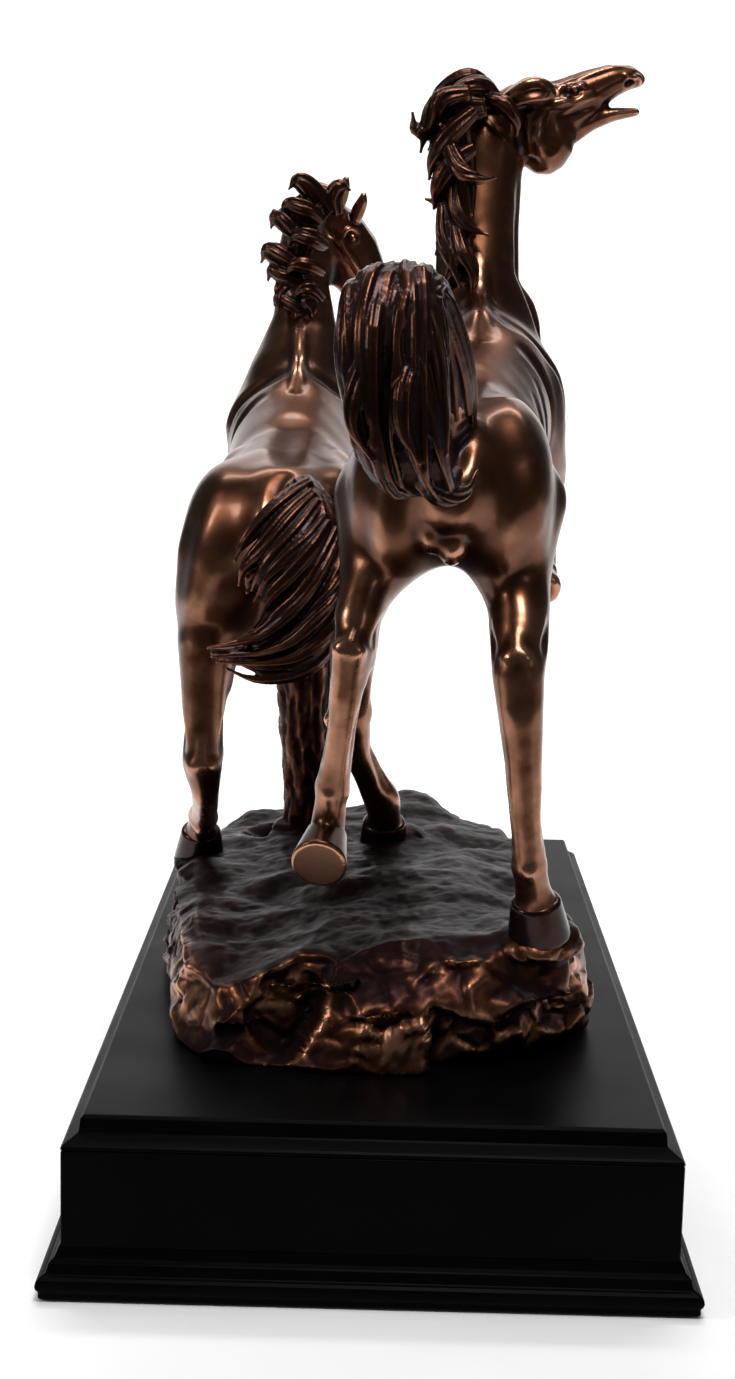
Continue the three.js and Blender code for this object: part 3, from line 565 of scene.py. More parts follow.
STROKES = {  # path, radius, height
    "right_horse": [
        ([(44, -98, 240), (50, -106, 224), (51, -109, 208), (47, -109, 195)], 8, -0.9),
        ([(32, -124, 236), (38, -129, 222), (41, -127, 206), (42, -120, 192)], 8, -1.3),
                ([(-2, -122, 236), (-7, -126, 220), (-8, -122, 204), (-8, -116, 195)], 7, -1.1),
                ([(18, -126, 238), (18, -131, 228), (17, -131, 221)], 5, -2.2),
        ([(18, -116, 247), (19, -95, 249), (21, -72, 250), (25, -48, 253)], 8, -1.6),
        ([(39, -70, 243)], 10, 1.8), ([(3, -70, 243)], 10, 1.8), ([(49, -56, 232)], 13, -2.2),
        ([(50, -40, 246), (53, -42, 230), (51, -44, 214)], 3, -0.6),
        ([(50, -30, 250), (54, -33, 232), (52, -36, 214)], 3, -0.6),
        ([(38, -10, 268), (49, 0, 252), (57, 10, 234), (58, 16, 224)], 5, -1.8),
        ([(44, -20, 258), (53, -14, 240), (56, -10, 224)], 5, -1.6),
        ([(29, -24, 266), (29, 0, 278), (29, 10, 284)], 5, 1.5),
        ([(42, 26, 316), (42, 22, 300), (44, 17, 285), (50, 13, 268), (55, 12, 256)], 5, -1.8),
    ],
    "left_horse": [
        ([(-56, -30, 206), (-63, -32, 194), (-67, -30, 180), (-66, -28, 168)], 9, -1.2),
                ([(-47, -42, 190), (-52, -40, 178), (-58, -36, 166)], 8, -1.2),
        ([(-9, -12, 214), (-5, -22, 198), (-5, -26, 182), (-6, -26, 168)], 5, -1.5),
        ([(-24, -44, 208), (-24, -46, 190), (-20, -40, 174)], 6, -0.9),
        ([(-34, -40, 214), (-35, -46, 198), (-34, -46, 182)], 5, -2.6),
        ([(-34, -30, 224), (-35, -8, 227), (-35, 14, 228), (-35, 36, 232)], 8, -1.8),
        ([(-55, 16, 220)], 10, 1.8), ([(-16, 16, 220)], 10, 1.8), ([(-60, 32, 208)], 13, -2.2),
        ([(-42, 68, 250), (-53, 78, 234), (-60, 88, 216), (-61, 94, 204)], 5, -1.8),
        ([(-26, 68, 250), (-17, 78, 234), (-11, 88, 216), (-10, 94, 204)], 5, -1.8),
        ([(-50, 60, 240), (-58, 66, 222), (-60, 70, 206)], 5, -1.6),
        ([(-34.5, 56, 246), (-34.5, 78, 256), (-34.5, 90, 262)], 4, 2.0),
        ([(-45, 110, 286), (-47, 104, 270), (-51, 100, 254)], 5, -1.6),
        ([(-24, 112, 290), (-22, 106, 270), (-18, 102, 254)], 5, -1.6),
    ],
}
HEAD_CUTS = {  # a point of the plane that parts head from neck, its direction, and how far the neck runs on
    "right_horse": ((36, 32, 328), (0.72, 0.1, 0.69), 3.0),
    "left_horse": ((-29, 112, 300), (0.72, 0.25, 0.65), 3.0),
}
FACES = {  # path, radius, height
    "right_horse": [
        ([(60, 27, 348)], 4.5, -1.5), ([(60.3, 28.5, 347.6)], 2.3, 1.7),
        ([(56.5, 27, 349.5), (60, 26.5, 351.2), (64, 28.5, 350.4)], 1.8, 1.2),
        ([(52, 27, 342), (58, 28.5, 343.5), (67, 31, 346)], 2.6, 1.4),
        ([(50, 26, 340), (48, 25, 333), (50, 26, 326)], 2.6, 1.3),
        ([(44, 25, 345), (42, 24, 336), (44, 25, 326), (49, 28, 319)], 3.2, -2.0),
        ([(56, 27, 338), (62, 29, 340), (70, 32, 343)], 2.4, -1.2),
        ([(54, 26.5, 331), (52, 26.5, 327)], 4, -0.6),
        ([(80.5, 36, 351.5)], 2.4, -2.0), ([(79, 35.5, 353.5), (83, 37, 353.5), (84.5, 38.5, 351)], 1.5, 0.9),
        ([(62, 31, 352.5), (70, 34, 355), (78, 37, 356)], 1.8, 0.8),
        ([(42, 17.5, 345), (46, 17.5, 346), (50, 18.5, 346.6)], 3.2, -2.0),
    ],
    "left_horse": [
        ([(-17, 109, 300)], 4, -1.4), ([(-16.6, 110, 299.6)], 2.1, 1.6),
        ([(-20, 107.5, 301), (-17.5, 108, 303), (-14, 109.5, 301.6)], 1.7, 1.1),
        ([(-21, 106, 297), (-17, 110, 292), (-12, 114, 285)], 2.4, 1.2),
        ([(-29, 105, 300), (-29, 106, 292), (-26, 108, 284)], 3, -1.8),
        ([(-5, 119, 270)], 2.2, -1.6), ([(-30, 104, 300), (-24, 103, 296)], 2.4, 0.8),
    ],
}
EARS = {  # each ear's root, middle and tip, and its width
    "right_horse": [
        ([(33, 23.5, 341), (39, 22.5, 343.5), (45, 22.5, 346), (50, 23.5, 346.2), (53.5, 25, 345)],
         (1.4, 3.6, 5.2, 4.6, 1.8)),
        ([(18, 35, 333), (12, 36, 333.5), (9, 37, 337), (7.5, 37, 341)], (2.6, 2.8, 2.2, 1.3)),
    ],
    "left_horse": [
        ([(-22.5, 105, 309), (-21, 104, 314), (-19.5, 102, 318.5), (-18.5, 101, 322)], (2.2, 3.0, 2.4, 0.9)),
        ([(-15.5, 110, 306), (-14, 109, 310), (-12.5, 107, 313.5), (-12, 106, 316.5)], (2.2, 2.8, 2.2, 0.9)),
    ],
}
TAILS = {  # centre, half width and half depth; the width's direction; number of locks
    "right_horse": ([
        (18, -125, 237, 5, 5), (14, -138, 252, 7.5, 6.5), (8, -149, 266.5, 10, 7),
        (1, -157.5, 273.5, 12, 7.5), (-0.5, -166, 262, 13.5, 6.5),
        (1, -168.5, 246, 13.2, 6.5), (4, -165.5, 231, 12, 6.5),
        (10, -157, 224, 9, 6), (17, -149, 227, 4, 3.5),
    ], (1, 0, 0), 36),
    "left_horse": ([
        (-28, -38, 213, 5, 5), (-25, -49, 207, 7, 7), (-23, -56, 196, 8, 8.5), (-22, -59, 184, 8, 8.5),
        (-26, -60, 172, 7.5, 8), (-35, -61, 164.5, 6, 6), (-46, -62, 162.5, 4.5, 4), (-55, -62, 162.5, 2, 2),
    ], (0, 1, 0), 26),
}
MANES = {
    "right_horse": ([
        (29, 20, 343, 5, 5), (21, 19, 339, 6, 5), (19.5, 18, 326, 6, 5), (20.5, 14, 309, 6, 5),
        (23, 8, 293, 5, 5), (26, 3, 280, 3, 3),
    ], (1, 0.2, 0), 9),
    "left_horse": ([
        (-21, 104, 314, 3.5, 4), (-29, 102, 311, 4, 5), (-34, 100, 303, 4, 5), (-36, 97, 292, 4, 5),
        (-36, 93, 280, 3.6, 5), (-35, 88, 268, 3, 3),
    ], (1, 0.2, 0), 7),
}
TUFTS = {  # single locks that leave the mass: path and radius at the root
    "right_horse": [
        ([(24, 12, 344), (15, 12, 341), (10, 14, 333), (8.5, 15, 324)], 3.4),
        ([(26, 10, 338), (18, 9, 330), (13, 11, 322), (11.5, 14, 315)], 3.2),
        ([(26, 9, 326), (18, 8, 320), (14, 9, 312), (13, 12, 305)], 3.0),
        ([(20, 10, 316), (21, 6, 305), (25, 4, 299), (32, 3, 297)], 2.8),
        ([(17, 9, 328), (21, 4, 319), (27, 2, 315), (34, 5, 316)], 2.6),
        ([(20, 6, 300), (23, 1, 291), (27, 0, 284), (27, 0, 276)], 2.6),
        ([(16, 8, 306), (17, 5, 296), (20, 2, 287), (23, 1, 279)], 2.6),
        ([(30, 18, 343), (36, 15, 341), (40, 17, 336), (41, 20, 331)], 2.6),
        ([(32, 24, 346), (24, 22, 350), (15, 22, 345), (10, 26, 338)], 3.4),
        ([(34, 26, 344), (28, 18, 347), (20, 15, 345), (14, 16, 338)], 3.0),
        ([(18, 19, 338), (11, 16, 332), (6.5, 14, 332), (4.8, 14, 337.5)], 2.8),
    ],
    "left_horse": [
        ([(-24, 99, 309), (-31, 97, 316), (-37, 95, 320), (-40, 95, 316)], 3.7),
        ([(-22, 100, 308), (-23, 98, 314), (-20.5, 97, 318.5), (-16.5, 97, 317)], 3.2),
        ([(-30, 96, 300), (-39, 93, 303), (-45, 93, 306), (-47, 94, 301.5)], 3.6),
        ([(-33, 93, 286), (-42, 91, 291), (-48, 92, 293.5), (-50, 93, 288.5)], 3.8),
        ([(-33, 91, 280), (-41, 90, 284), (-46, 91, 286), (-47.5, 92, 282)], 3.0),
        ([(-32, 90, 270), (-38, 89, 274), (-43, 90, 276), (-44.5, 91, 272.5)], 2.8),
        ([(-28, 95, 305), (-34, 91, 309), (-40, 91, 311), (-43, 93, 307)], 3.0),
        ([(-26, 94, 296), (-31, 89, 298), (-37, 88, 299), (-40, 90, 295)], 3.2),
        ([(-27, 92, 286), (-32, 87, 288), (-37, 86, 288), (-40, 88, 284)], 3.0),
        ([(-27, 91, 276), (-31, 87, 279), (-35, 86, 279), (-38, 88, 275)], 2.8),
    ],
}
TAIL_TUFTS = {
    "right_horse": [
        ([(6, -170, 258), (3, -175, 248), (3, -175, 238), (8, -172, 230)], 2.4),
        ([(-4, -171, 262), (-9, -173, 250), (-10, -173, 240), (-4, -172, 230)], 2.4),
        ([(6, -164, 227), (13, -160, 221), (20, -154, 222), (24, -149, 227)], 2.6),
    ],
    "left_horse": [
        ([(-25, -50, 216), (-32, -56, 211), (-39.5, -60, 204), (-45.6, -62, 197), (-47.5, -61, 191)], 2.6),
        ([(-24, -54, 213), (-31, -60, 206), (-37.5, -64, 198), (-44, -65, 190), (-46.2, -63, 183.5)], 2.9),
        ([(-22, -56, 210), (-27.5, -63, 202), (-34.6, -66, 194), (-39.8, -66, 187), (-42.5, -64, 182)], 2.8),
        ([(-20, -58, 206), (-25, -65, 199), (-32.3, -68, 192), (-38, -68, 186), (-41, -66, 179)], 2.8),
        ([(-19, -60, 204), (-23.6, -67, 197), (-29.8, -69, 189), (-36, -69, 182), (-39, -67, 175),
          (-43.4, -65, 168)], 2.9),
        ([(-17, -60, 199), (-21.6, -68, 189), (-27.7, -70, 181), (-34.6, -69, 174.5), (-39, -68, 168),
          (-46, -66, 163)], 2.8),
        ([(-16, -60, 202), (-20.4, -67, 192), (-25.6, -70, 183), (-31.7, -70, 175.5), (-39.6, -69, 169),
          (-47.4, -68, 166.5), (-56, -65, 164)], 2.8),
        ([(-14.5, -60, 197), (-16.5, -66, 186), (-21, -70, 176.5), (-28.5, -70, 168.5), (-39.5, -69, 163.5),
          (-54.7, -66, 161.5)], 2.9),
        ([(-13.5, -59, 192), (-15, -65, 180), (-19, -69, 170), (-26.8, -70, 162.5), (-37.8, -69, 160),
          (-53, -66, 160)], 2.8),
        ([(-13, -58, 183), (-15.8, -63, 170), (-22, -67, 161), (-29.8, -68, 156.5), (-41, -67, 155),
          (-50, -65, 157.5)], 2.6),
        ([(-16, -56, 176), (-20, -60, 164), (-28, -64, 158), (-38, -66, 158), (-50, -64, 160)], 3.4),
        ([(-20, -52, 205), (-24, -58, 193), (-30, -61, 183), (-37, -62, 175), (-42, -62, 168)], 4.2),
        ([(-17, -52, 196), (-20, -58, 184), (-26, -61, 174), (-35, -62, 167), (-47, -62, 164)], 4.4),
        ([(-18, -52, 186), (-21, -56, 173), (-28, -59, 164), (-38, -61, 160), (-49, -62, 161)], 4.2),
        ([(-22, -50, 210), (-29, -56, 203), (-36, -60, 195), (-42, -61, 187), (-44, -61, 181)], 3.8),
    ],
}
MOUNDS = (  # rock that closes round the planted hooves and the stump: centre and radii
    ((48.4, -110, 83), (14, 15, 6)), ((-64, 12, 74.5), (11, 14, 6)), ((1.6, 16, 79), (13, 14, 6)),
    ((9, 19, 82), (8, 9, 6)), ((20, 28, 79.5), (13, 12, 6)), ((-27, 31, 80), (16, 15, 9)),
    ((47, -112, 74), (12, 10, 10)),
)


def unit(vector):
    """The vector at length one."""
    vector = np.asarray(vector, float)
    return vector / np.linalg.norm(vector)


def hock_axes(stifle, hock, fetlock):
    """Down the cannon, to the back of the hock, and across it."""
    down = unit(fetlock - hock)
    back = hock - (stifle + fetlock) / 2
    back = unit(back - down * back.dot(down))
    return down, back, np.cross(back, down)


def add_hind_leg(bm, joints):
    """Tendons, hock, fetlock and coronet laid on a hind leg."""
    stifle, hock, fetlock, coronet = (np.array(joint, float) for joint in joints[:4])
    down, back, side = hock_axes(stifle, hock, fetlock)
    point = hock + back * 8.2 - down * 5
    add_bone(bm, stifle + (hock - stifle) * 0.1 + back * 2, point, 5, 3.4)
    for turn in (-1, 1):
        strap_top = point + side * turn * 1.5 + down
        strap_end = hock + side * turn * 1.0 + back * 2.2 + down * 22
        add_bone(bm, strap_top, strap_end, 3.6, 2.6)
    add_ball(bm, hock, (6.6, 7, 8.6))
    for turn in (-1, 1):
        add_ball(bm, hock + side * turn * 3.4 - back * 1.2, (3.6, 4.6, 6.5))
        add_ball(bm, fetlock + side * turn * 2.2, (3.2, 4.2, 4.6))
    add_ball(bm, fetlock + back * 2.8, (3.8, 3.2, 4.6))
    add_bone(bm, fetlock, coronet, 4.4, 5.4)


def cannon_grooves(joints):
    """The two grooves between bone and tendon on a hind cannon, and the hollows above the hock."""
    stifle, hock, fetlock = (np.array(joint, float) for joint in joints[:3])
    down, back, side = hock_axes(stifle, hock, fetlock)
    grooves = []
    for turn in (-1, 1):
        edge = side * turn * 4.6 + back * 1.6
        tendon = [hock + edge + down * 11, (hock + fetlock) / 2 + edge, fetlock + edge - down * 7]
        grooves.append((tendon, 2.8, -1.3))
        hollow = side * turn * 6 + back * 3
        grooves.append(([stifle * 0.35 + hock * 0.65 + hollow, hock + hollow - down * 5], 3.6, -1.5))
    return grooves


def add_fore_leg(bm, joints):
    """Forearm, knee, tendons and fetlock laid on a folded foreleg."""
    elbow, knee, turn, fetlock, coronet = (np.array(joint, float) for joint in joints[:5])
    add_bone(bm, elbow, elbow + (knee - elbow) * 0.55, 7, 5.4)
    add_bone(bm, elbow + (knee - elbow) * 0.4, knee, 5.4, 4.6)
    add_ball(bm, knee, (5.6, 6, 6.4))
    add_bone(bm, knee + (turn - knee) * 0.2, turn, 3.9, 3.4)
    add_bone(bm, turn, fetlock, 3.6, 4.3)
    add_ball(bm, fetlock, (4.8, 5.2, 5))
    add_bone(bm, fetlock, coronet, 3.7, 4.6)


def lock_of_hair(path, radius, strands, wave, seed, points=16):
    """One lock: a core with strands laid round it, all running to one pointed tip."""
    rng = np.random.default_rng(seed)
    core = through(path, points)
    along = np.linspace(0, 1, points)
    swell = radius * (0.55 + 0.75 * np.sin(np.pi * np.clip(along * 0.9 + 0.12, 0, 1))) * (1 - along ** 4)
    swell = np.maximum(swell, 0.6)
    heading = np.gradient(core, axis=0)
    heading /= np.linalg.norm(heading, axis=1)[:, None]
    first = np.cross(heading, unit(rng.normal(size=3)))
    first /= np.linalg.norm(first, axis=1)[:, None]
    second = np.cross(heading, first)
    sway = np.sin(2 * np.pi * (along * 1.2 + rng.random()))[:, None] * wave * along[:, None]
    core = core + first * sway
    laid = [(core, swell * 0.66)]
    for k in range(strands):
        angle = 2 * np.pi * k / strands + rng.uniform(-0.2, 0.2) + along * rng.uniform(0.3, 0.9)
        ring = first * np.cos(angle)[:, None] + second * np.sin(angle)[:, None]
        laid.append((core + ring * (swell * 0.66)[:, None], np.maximum(swell * 0.3, 0.24)))
    return laid


def tress(stations, side, count, radius, seed):
    """Locks that run along a mass of hair, on all sides of a core."""
    rng = np.random.default_rng(seed)
    rows = through(stations, 40)
    centre, wide, deep = rows[:, :3], rows[:, 3], rows[:, 4]
    heading = np.gradient(centre, axis=0)
    heading /= np.linalg.norm(heading, axis=1)[:, None]
    across = unit(side) - heading * (heading @ unit(side))[:, None]
    across /= np.linalg.norm(across, axis=1)[:, None]
    outward = np.cross(heading, across)
    laid = []
    thick = np.minimum(wide, deep) * 0.62
    for share in (-1, -0.5, 0, 0.5, 1):
        laid.append((centre + across * (share * np.maximum(wide - thick - 0.5, 0))[:, None], thick))
    for k in range(count):
        start, end = rng.uniform(0, 0.1) + 0.3 * (k % 4 == 3), rng.uniform(0.72, 1.0)
        places = np.linspace(start, end, 9)
        at_rows = (places * 39).astype(int)
        angle = (2 * np.pi * (k + rng.uniform(-0.2, 0.2)) / count
                 + 0.3 * np.sin(2 * np.pi * (places + rng.random())))
        reach = 0.86 + 0.1 * np.sin(2 * np.pi * (places * 1.5 + rng.random()))
        path = (centre[at_rows] + across[at_rows] * (np.cos(angle) * wide[at_rows] * reach)[:, None]
                + outward[at_rows] * (np.sin(angle) * deep[at_rows] * reach)[:, None])
        laid += lock_of_hair(path, radius * rng.uniform(0.8, 1.25), 7, 0.8, seed * 100 + k, points=26)
    return laid


def flames(stations, out, count, seed):
    """Short locks blown out from the crest, each hooked at its tip."""
    rng = np.random.default_rng(seed)
    rows = through(stations, 40)
    heading = np.gradient(rows[:, :3], axis=0)
    heading /= np.linalg.norm(heading, axis=1)[:, None]
    laid = []
    for k in range(count):
        row = int((k + rng.uniform(0, 0.8)) / count * 39)
        turned = unit(np.array(out) + rng.normal(size=3) * (0.5, 0.45, 0.25))
        flow = heading[row]
        length = rng.uniform(8, 13)
        root = rows[row, :3] - turned * 1.5
        lift = rng.uniform(-0.1, 0.6)
        path = [root, root + turned * length * 0.45 + flow * length * 0.1,
                root + turned * length * 0.75 + flow * length * 0.45,
                root + turned * length * (0.8 + lift) + flow * length * (0.85 - lift)]
        laid += lock_of_hair(path, rng.uniform(2.4, 3.3), 8, 0.5, seed * 100 + k)
    return laid


def hair_mass(name, node, strands, finish):
    """Melts locks into one cast mass of hair with grooves."""
    mesh = strand_mesh(name, strands)
    bm = bmesh.new()
    bm.from_mesh(mesh)
    bpy.data.meshes.remove(mesh)
    piece = keep_shell(fuse(mesh_from(bm, name), finish.face_grain / MM))
    skin = Skin(piece)
    skin.smooth(2)
    skin.store()
    skin.mark_rise(*HAIR_RELIEF)
    shade_smooth(piece)
    finish_piece(piece, bronze("bronze_plate_dark_hair", finish), "dark_bronze", node)


def sculpt(piece, smoothing, strokes, relief, soft=()):
    """Evens a fused skin, cuts and raises its strokes, and marks its ridges and hollows."""
    skin = Skin(piece)
    skin.smooth(smoothing)
    for centre, radius, steps in soft:
        skin.melt(centre, radius, steps)
    normals = skin.normals()
    for path, radius, height in strokes:
        skin.stroke(path, radius, height, normals)
    skin.smooth(4)
    skin.store()
    skin.mark_rise(*relief)
    shade_smooth(piece)


def part_of(node, point, direction, keep_front):
    """A closed copy of a node on one side of a plane."""
    bm = cad_copies(node)
    geometry = bm.verts[:] + bm.edges[:] + bm.faces[:]
    cut = bmesh.ops.bisect_plane(bm, geom=geometry, plane_co=at(point), plane_no=direction,
                                 clear_inner=keep_front, clear_outer=not keep_front)
    rim = [item for item in cut["geom_cut"] if isinstance(item, bmesh.types.BMEdge)]
    bmesh.ops.holes_fill(bm, edges=rim)
    mesh = bpy.data.meshes.new(node + "_part")
    bm.to_mesh(mesh)
    bm.free()
    return mesh


def ramp(values):
    """Values held between 0 and 1."""
    return np.clip(values, 0, 1)


def break_rock(skin, floor):
    """Breaks the near side of the rock into an overhanging slab on the right and a low one on the left."""
    # A slope is cut down to the low slab on the left.
    x, y, z = skin.points.T
    slope = unit((-0.05, -0.72, 0.69))
    over = (skin.points - (-20, -129, floor + 17.5)) @ slope
    share = ramp((22 - x) / 10) * ramp((-60 - y) / 12)
    skin.points -= slope * (np.clip(over, 0, None) * share)[:, None]
    # The rock under the right slab's lip is set back.
    x, y, z = skin.points.T
    lip = floor + 17 + 3 * np.sin(x / 7) - 0.12 * (x - 40)
    under = ramp((lip - z) / 3.5) * ramp((x - 14) / 7) * ramp((-84 - y) / 22)
    skin.points[:, 1] += under * 11
    skin.points[:, 0] -= under * ramp((x - 45) / 15) * 6
    # The low slab's foot is brought forward, and the right slab's brow leans back.
    x, y, z = skin.points.T
    near = ramp((-70 - y) / 30)
    foot = ramp(1 - (z - floor) / 17) * ramp((26 - x) / 10)
    brow = ramp((z - floor - 20) / 16) * ramp((x - 8) / 10)
    skin.points[:, 1] += near * (4 * brow - 3.5 * foot)


def chip_rock(skin, floor, count):
    """Knocks flat chips off the rock's steep sides."""
    rng = np.random.default_rng(11)
    for k in range(count):
        if k % 40 == 0:
            normals = skin.normals()
        spot = rng.integers(len(skin.points))
        centre, facing = skin.points[spot], normals[spot]
        steep = 1 - abs(facing[2])
        if centre[2] < floor + 1.5 or steep < 0.25:
            continue
        radius = rng.uniform(6, 17)
        facing = unit(facing * (1, 1, 0.6) + rng.normal(size=3) * 0.12)
        offset = skin.points - centre
        near = np.flatnonzero((offset ** 2).sum(1) < radius ** 2)
        over = offset[near] @ facing + rng.uniform(0.2, 1.1)
        edge = 1 - ((offset[near] ** 2).sum(1) / radius ** 2) ** 5
        skin.points[near] -= facing * (np.clip(over, 0, None) * edge)[:, None]


def roughen_rock(skin, floor):
    """Gives the rock its rough skin, soft swells and cracks, and copper wear on its steep sides, made
    brighter towards the near side as painted light.
    """
    normals = skin.normals()
    high = ramp((skin.points[:, 2] - floor) / 6)
    steep = 1 - np.abs(normals[:, 2])
    rough = np.array([noise.fractal(Vector(p) / 5.5, 0.8, 2.1, 4) for p in skin.points])
    swell = np.array([noise.noise(Vector((x / 24, y / 15, z / 20))) for x, y, z in skin.points])
    cells = [noise.voronoi(Vector((x, y, z * 1.3)) / 15)[0] for x, y, z in skin.points]
    cracks = -np.exp(-((np.array([cell[1] - cell[0] for cell in cells]) / 0.12) ** 2))
    relief = rough * 0.5 + swell * 3.2 * (1 - steep) + cracks * (0.2 + 0.9 * steep)
    skin.points += normals * (relief * high)[:, None]
    skin.points[:, 2] = np.maximum(skin.points[:, 2], floor)
    skin.store()
    # Copper wear on the steep faces, raised towards the near side as painted light so that the near faces
    # read brighter, as if lit.
    copper_wear_and_painted_light = steep * np.clip((-30 - skin.points[:, 1]) / 60, 0.2, 1) * (1 + 1.1 * swell)
    for _ in range(6):
        copper_wear_and_painted_light += 0.6 * (skin.around(copper_wear_and_painted_light) - copper_wear_and_painted_light)
    skin.mark_rise(*ROCK_RELIEF, 0.42 * copper_wear_and_painted_light - 0.19)


# ---- settings ----
class StatueSettings(bpy.types.PropertyGroup):
    """Sizes and colours of the statue's finish."""
    bronze: FloatVectorProperty(
        name="Bronze", description="The plate's usual brown", subtype="COLOR", size=3, min=0, max=1,
        default=linear("#6B442F"),
    )
    copper: FloatVectorProperty(
        name="Rubbed copper", description="The plate on ridges and edges", subtype="COLOR", size=3, min=0,
        max=1, default=linear("#DDA283"),
    )
    patina: FloatVectorProperty(
        name="Patina", description="The plate in hollows", subtype="COLOR", size=3, min=0, max=1,
        default=linear("#2B1817"),
    )
    lacquer: FloatVectorProperty(
        name="Lacquer", description="The plinth's black", subtype="COLOR", size=3, min=0, max=1,
        default=linear("#030304"),
    )
    skin_grain: FloatProperty(
        name="Skin grain", description="Size of the faces on the horses' bodies", unit="LENGTH",
        subtype="DISTANCE", default=0.92 * MM, min=0.5 * MM, max=3 * MM,
    )
    face_grain: FloatProperty(
        name="Face grain", description="Size of the faces on the heads and the hair", unit="LENGTH",
        subtype="DISTANCE", default=0.44 * MM, min=0.3 * MM, max=2 * MM,
    )
    rock_grain: FloatProperty(
        name="Rock grain", description="Size of the faces on the rock", unit="LENGTH", subtype="DISTANCE",
        default=1.12 * MM, min=0.6 * MM, max=4 * MM,
    )
    rock_chips: IntProperty(
        name="Rock chips", description="Number of flat breaks on the rock", default=420, min=0, max=2000,
    )
    lock_radius: FloatProperty(
        name="Lock radius", description="Half the thickness of a lock of hair", unit="LENGTH",
        subtype="DISTANCE", default=2.3 * MM, min=1 * MM, max=5 * MM,
    )
    plinth_edge: FloatProperty(
        name="Plinth edge", description="Rounding of the plinth's edges", unit="LENGTH", subtype="DISTANCE",
        default=0.5 * MM, min=0.1 * MM, max=2 * MM,
    )
    focal_length: FloatProperty(
        name="Focal length", description="The camera's lens", unit="CAMERA", default=54.82, min=20, max=200,
    )


BRONZES = {  # wear, gloss and shine of each bronze finish
    "bronze_plate_buffed": (-0.19, 0.25, 1.0),
    "bronze_plate_dark_hair": (-0.34, 0.24, 0.6),
    "bronze_plate_hoof": (-0.36, 0.17, 1.0),
    "bronze_plate_rock": (-0.34, 0.3, 0.1),
}


def bronze(name, finish):
    """One of the bronze finishes, made once and then shared."""
    return bpy.data.materials.get(name) or bronze_plate(name, *BRONZES[name], finish)


# ---- operators ----
class STATUE_OT_bodies(bpy.types.Operator):
    """Builds both horses' bodies, legs and necks as cast skins"""
    bl_idname = "statue.bodies"
    bl_label = "Horse bodies"

    def execute(self, context):
        finish = context.scene.statue
        for horse in HORSES:
            point, direction, overlap = HEAD_CUTS[horse]
            above = np.array(point) + unit(direction) * overlap
            neck = part_of(horse + "_neck_and_head", above, direction, False)
            trunk = cad_copies(horse + "_body")
            for centre, radii, turn in MUSCLES[horse]:
                add_ball(trunk, centre, radii, turn)
            for start, end, start_radius, end_radius in BRIDGES[horse]:
                add_bone(trunk, start, end, start_radius, end_radius)
            trunk = smoothed_core(trunk, horse + "_trunk", TRUNK_CORE)
            limbs = cad_copies(*[f"{horse}_{leg}" for leg in LEGS])
            limbs.from_mesh(neck)
            bpy.data.meshes.remove(neck)
            limbs = smoothed_core(limbs, horse + "_limbs", LIMB_CORE)
            joined = bpy.data.meshes.new(horse + "_trunk")
            trunk.to_mesh(joined)
            trunk.free()
            limbs.from_mesh(joined)
            bpy.data.meshes.remove(joined)
            bm = smoothed_core(limbs, horse + "_whole", WHOLE_CORE)
            for centre, radii in DETAILS[horse]:
                add_ball(bm, centre, radii)
            for joints in HIND_LEGS[horse].values():
                add_hind_leg(bm, joints)
            for joints in FORE_LEGS[horse].values():
                add_fore_leg(bm, joints)
            piece = keep_shell(fuse(mesh_from(bm, horse + "_skin"), finish.skin_grain / MM))
            grooves = [groove for joints in HIND_LEGS[horse].values() for groove in cannon_grooves(joints)]
            sculpt(piece, 40, STROKES[horse] + grooves, SKIN_RELIEF, SOFT[horse])
            nodes = [horse + "_body", horse + "_neck_and_head", *[f"{horse}_{leg}" for leg in LEGS]]
            finish_piece(piece, bronze("bronze_plate_buffed", finish), "bronze", *nodes)
        return {"FINISHED"}


class STATUE_OT_heads(bpy.types.Operator):
    """Builds both horses' heads with eyes, nostrils, cheeks and ears"""
    bl_idname = "statue.heads"
    bl_label = "Horse heads"

    def execute(self, context):
        finish = context.scene.statue
        for horse in HORSES:
            point, direction, _ = HEAD_CUTS[horse]
            mesh = part_of(horse + "_neck_and_head", point, direction, True)
            bm = bmesh.new()
            bm.from_mesh(mesh)
            bpy.data.meshes.remove(mesh)
            bm = smoothed_core(bm, horse + "_head_core", HEAD_CORE)
            ears = [
                (through(path, 14), through([(width, 0, 0) for width in widths], 14)[:, 0])
                for path, widths in EARS[horse]
            ]
            shell = strand_mesh(horse + "_ears", ears)
            bm.from_mesh(shell)
            bpy.data.meshes.remove(shell)
            piece = keep_shell(fuse(mesh_from(bm, horse + "_face"), finish.face_grain / MM))
            sculpt(piece, 8, FACES[horse], FACE_RELIEF)
            finish_piece(piece, bronze("bronze_plate_buffed", finish), "bronze")
        return {"FINISHED"}


class STATUE_OT_hair(bpy.types.Operator):
    """Builds manes, forelocks and tails as masses of wavy locks"""
    bl_idname = "statue.hair"
    bl_label = "Manes and tails"

    def execute(self, context):
        finish = context.scene.statue
        radius = finish.lock_radius / MM
        for seed, horse in enumerate(HORSES):
            for kind, stations, tufts in (("tail", TAILS, TAIL_TUFTS), ("mane", MANES, TUFTS)):
                rows, side, count = stations[horse]
                laid = tress(rows, side, count, radius, 3 + seed)
                if kind == "mane":
                    laid += flames(rows, (-0.8, -0.55, 0.1), 9, 7 + seed)
                for k, (path, root) in enumerate(tufts[horse]):
                    laid += lock_of_hair(path, root, 7, 0.6, 50 + k)
                hair_mass(f"{horse}_{kind}_hair", f"{horse}_{kind}", laid, finish)
        return {"FINISHED"}


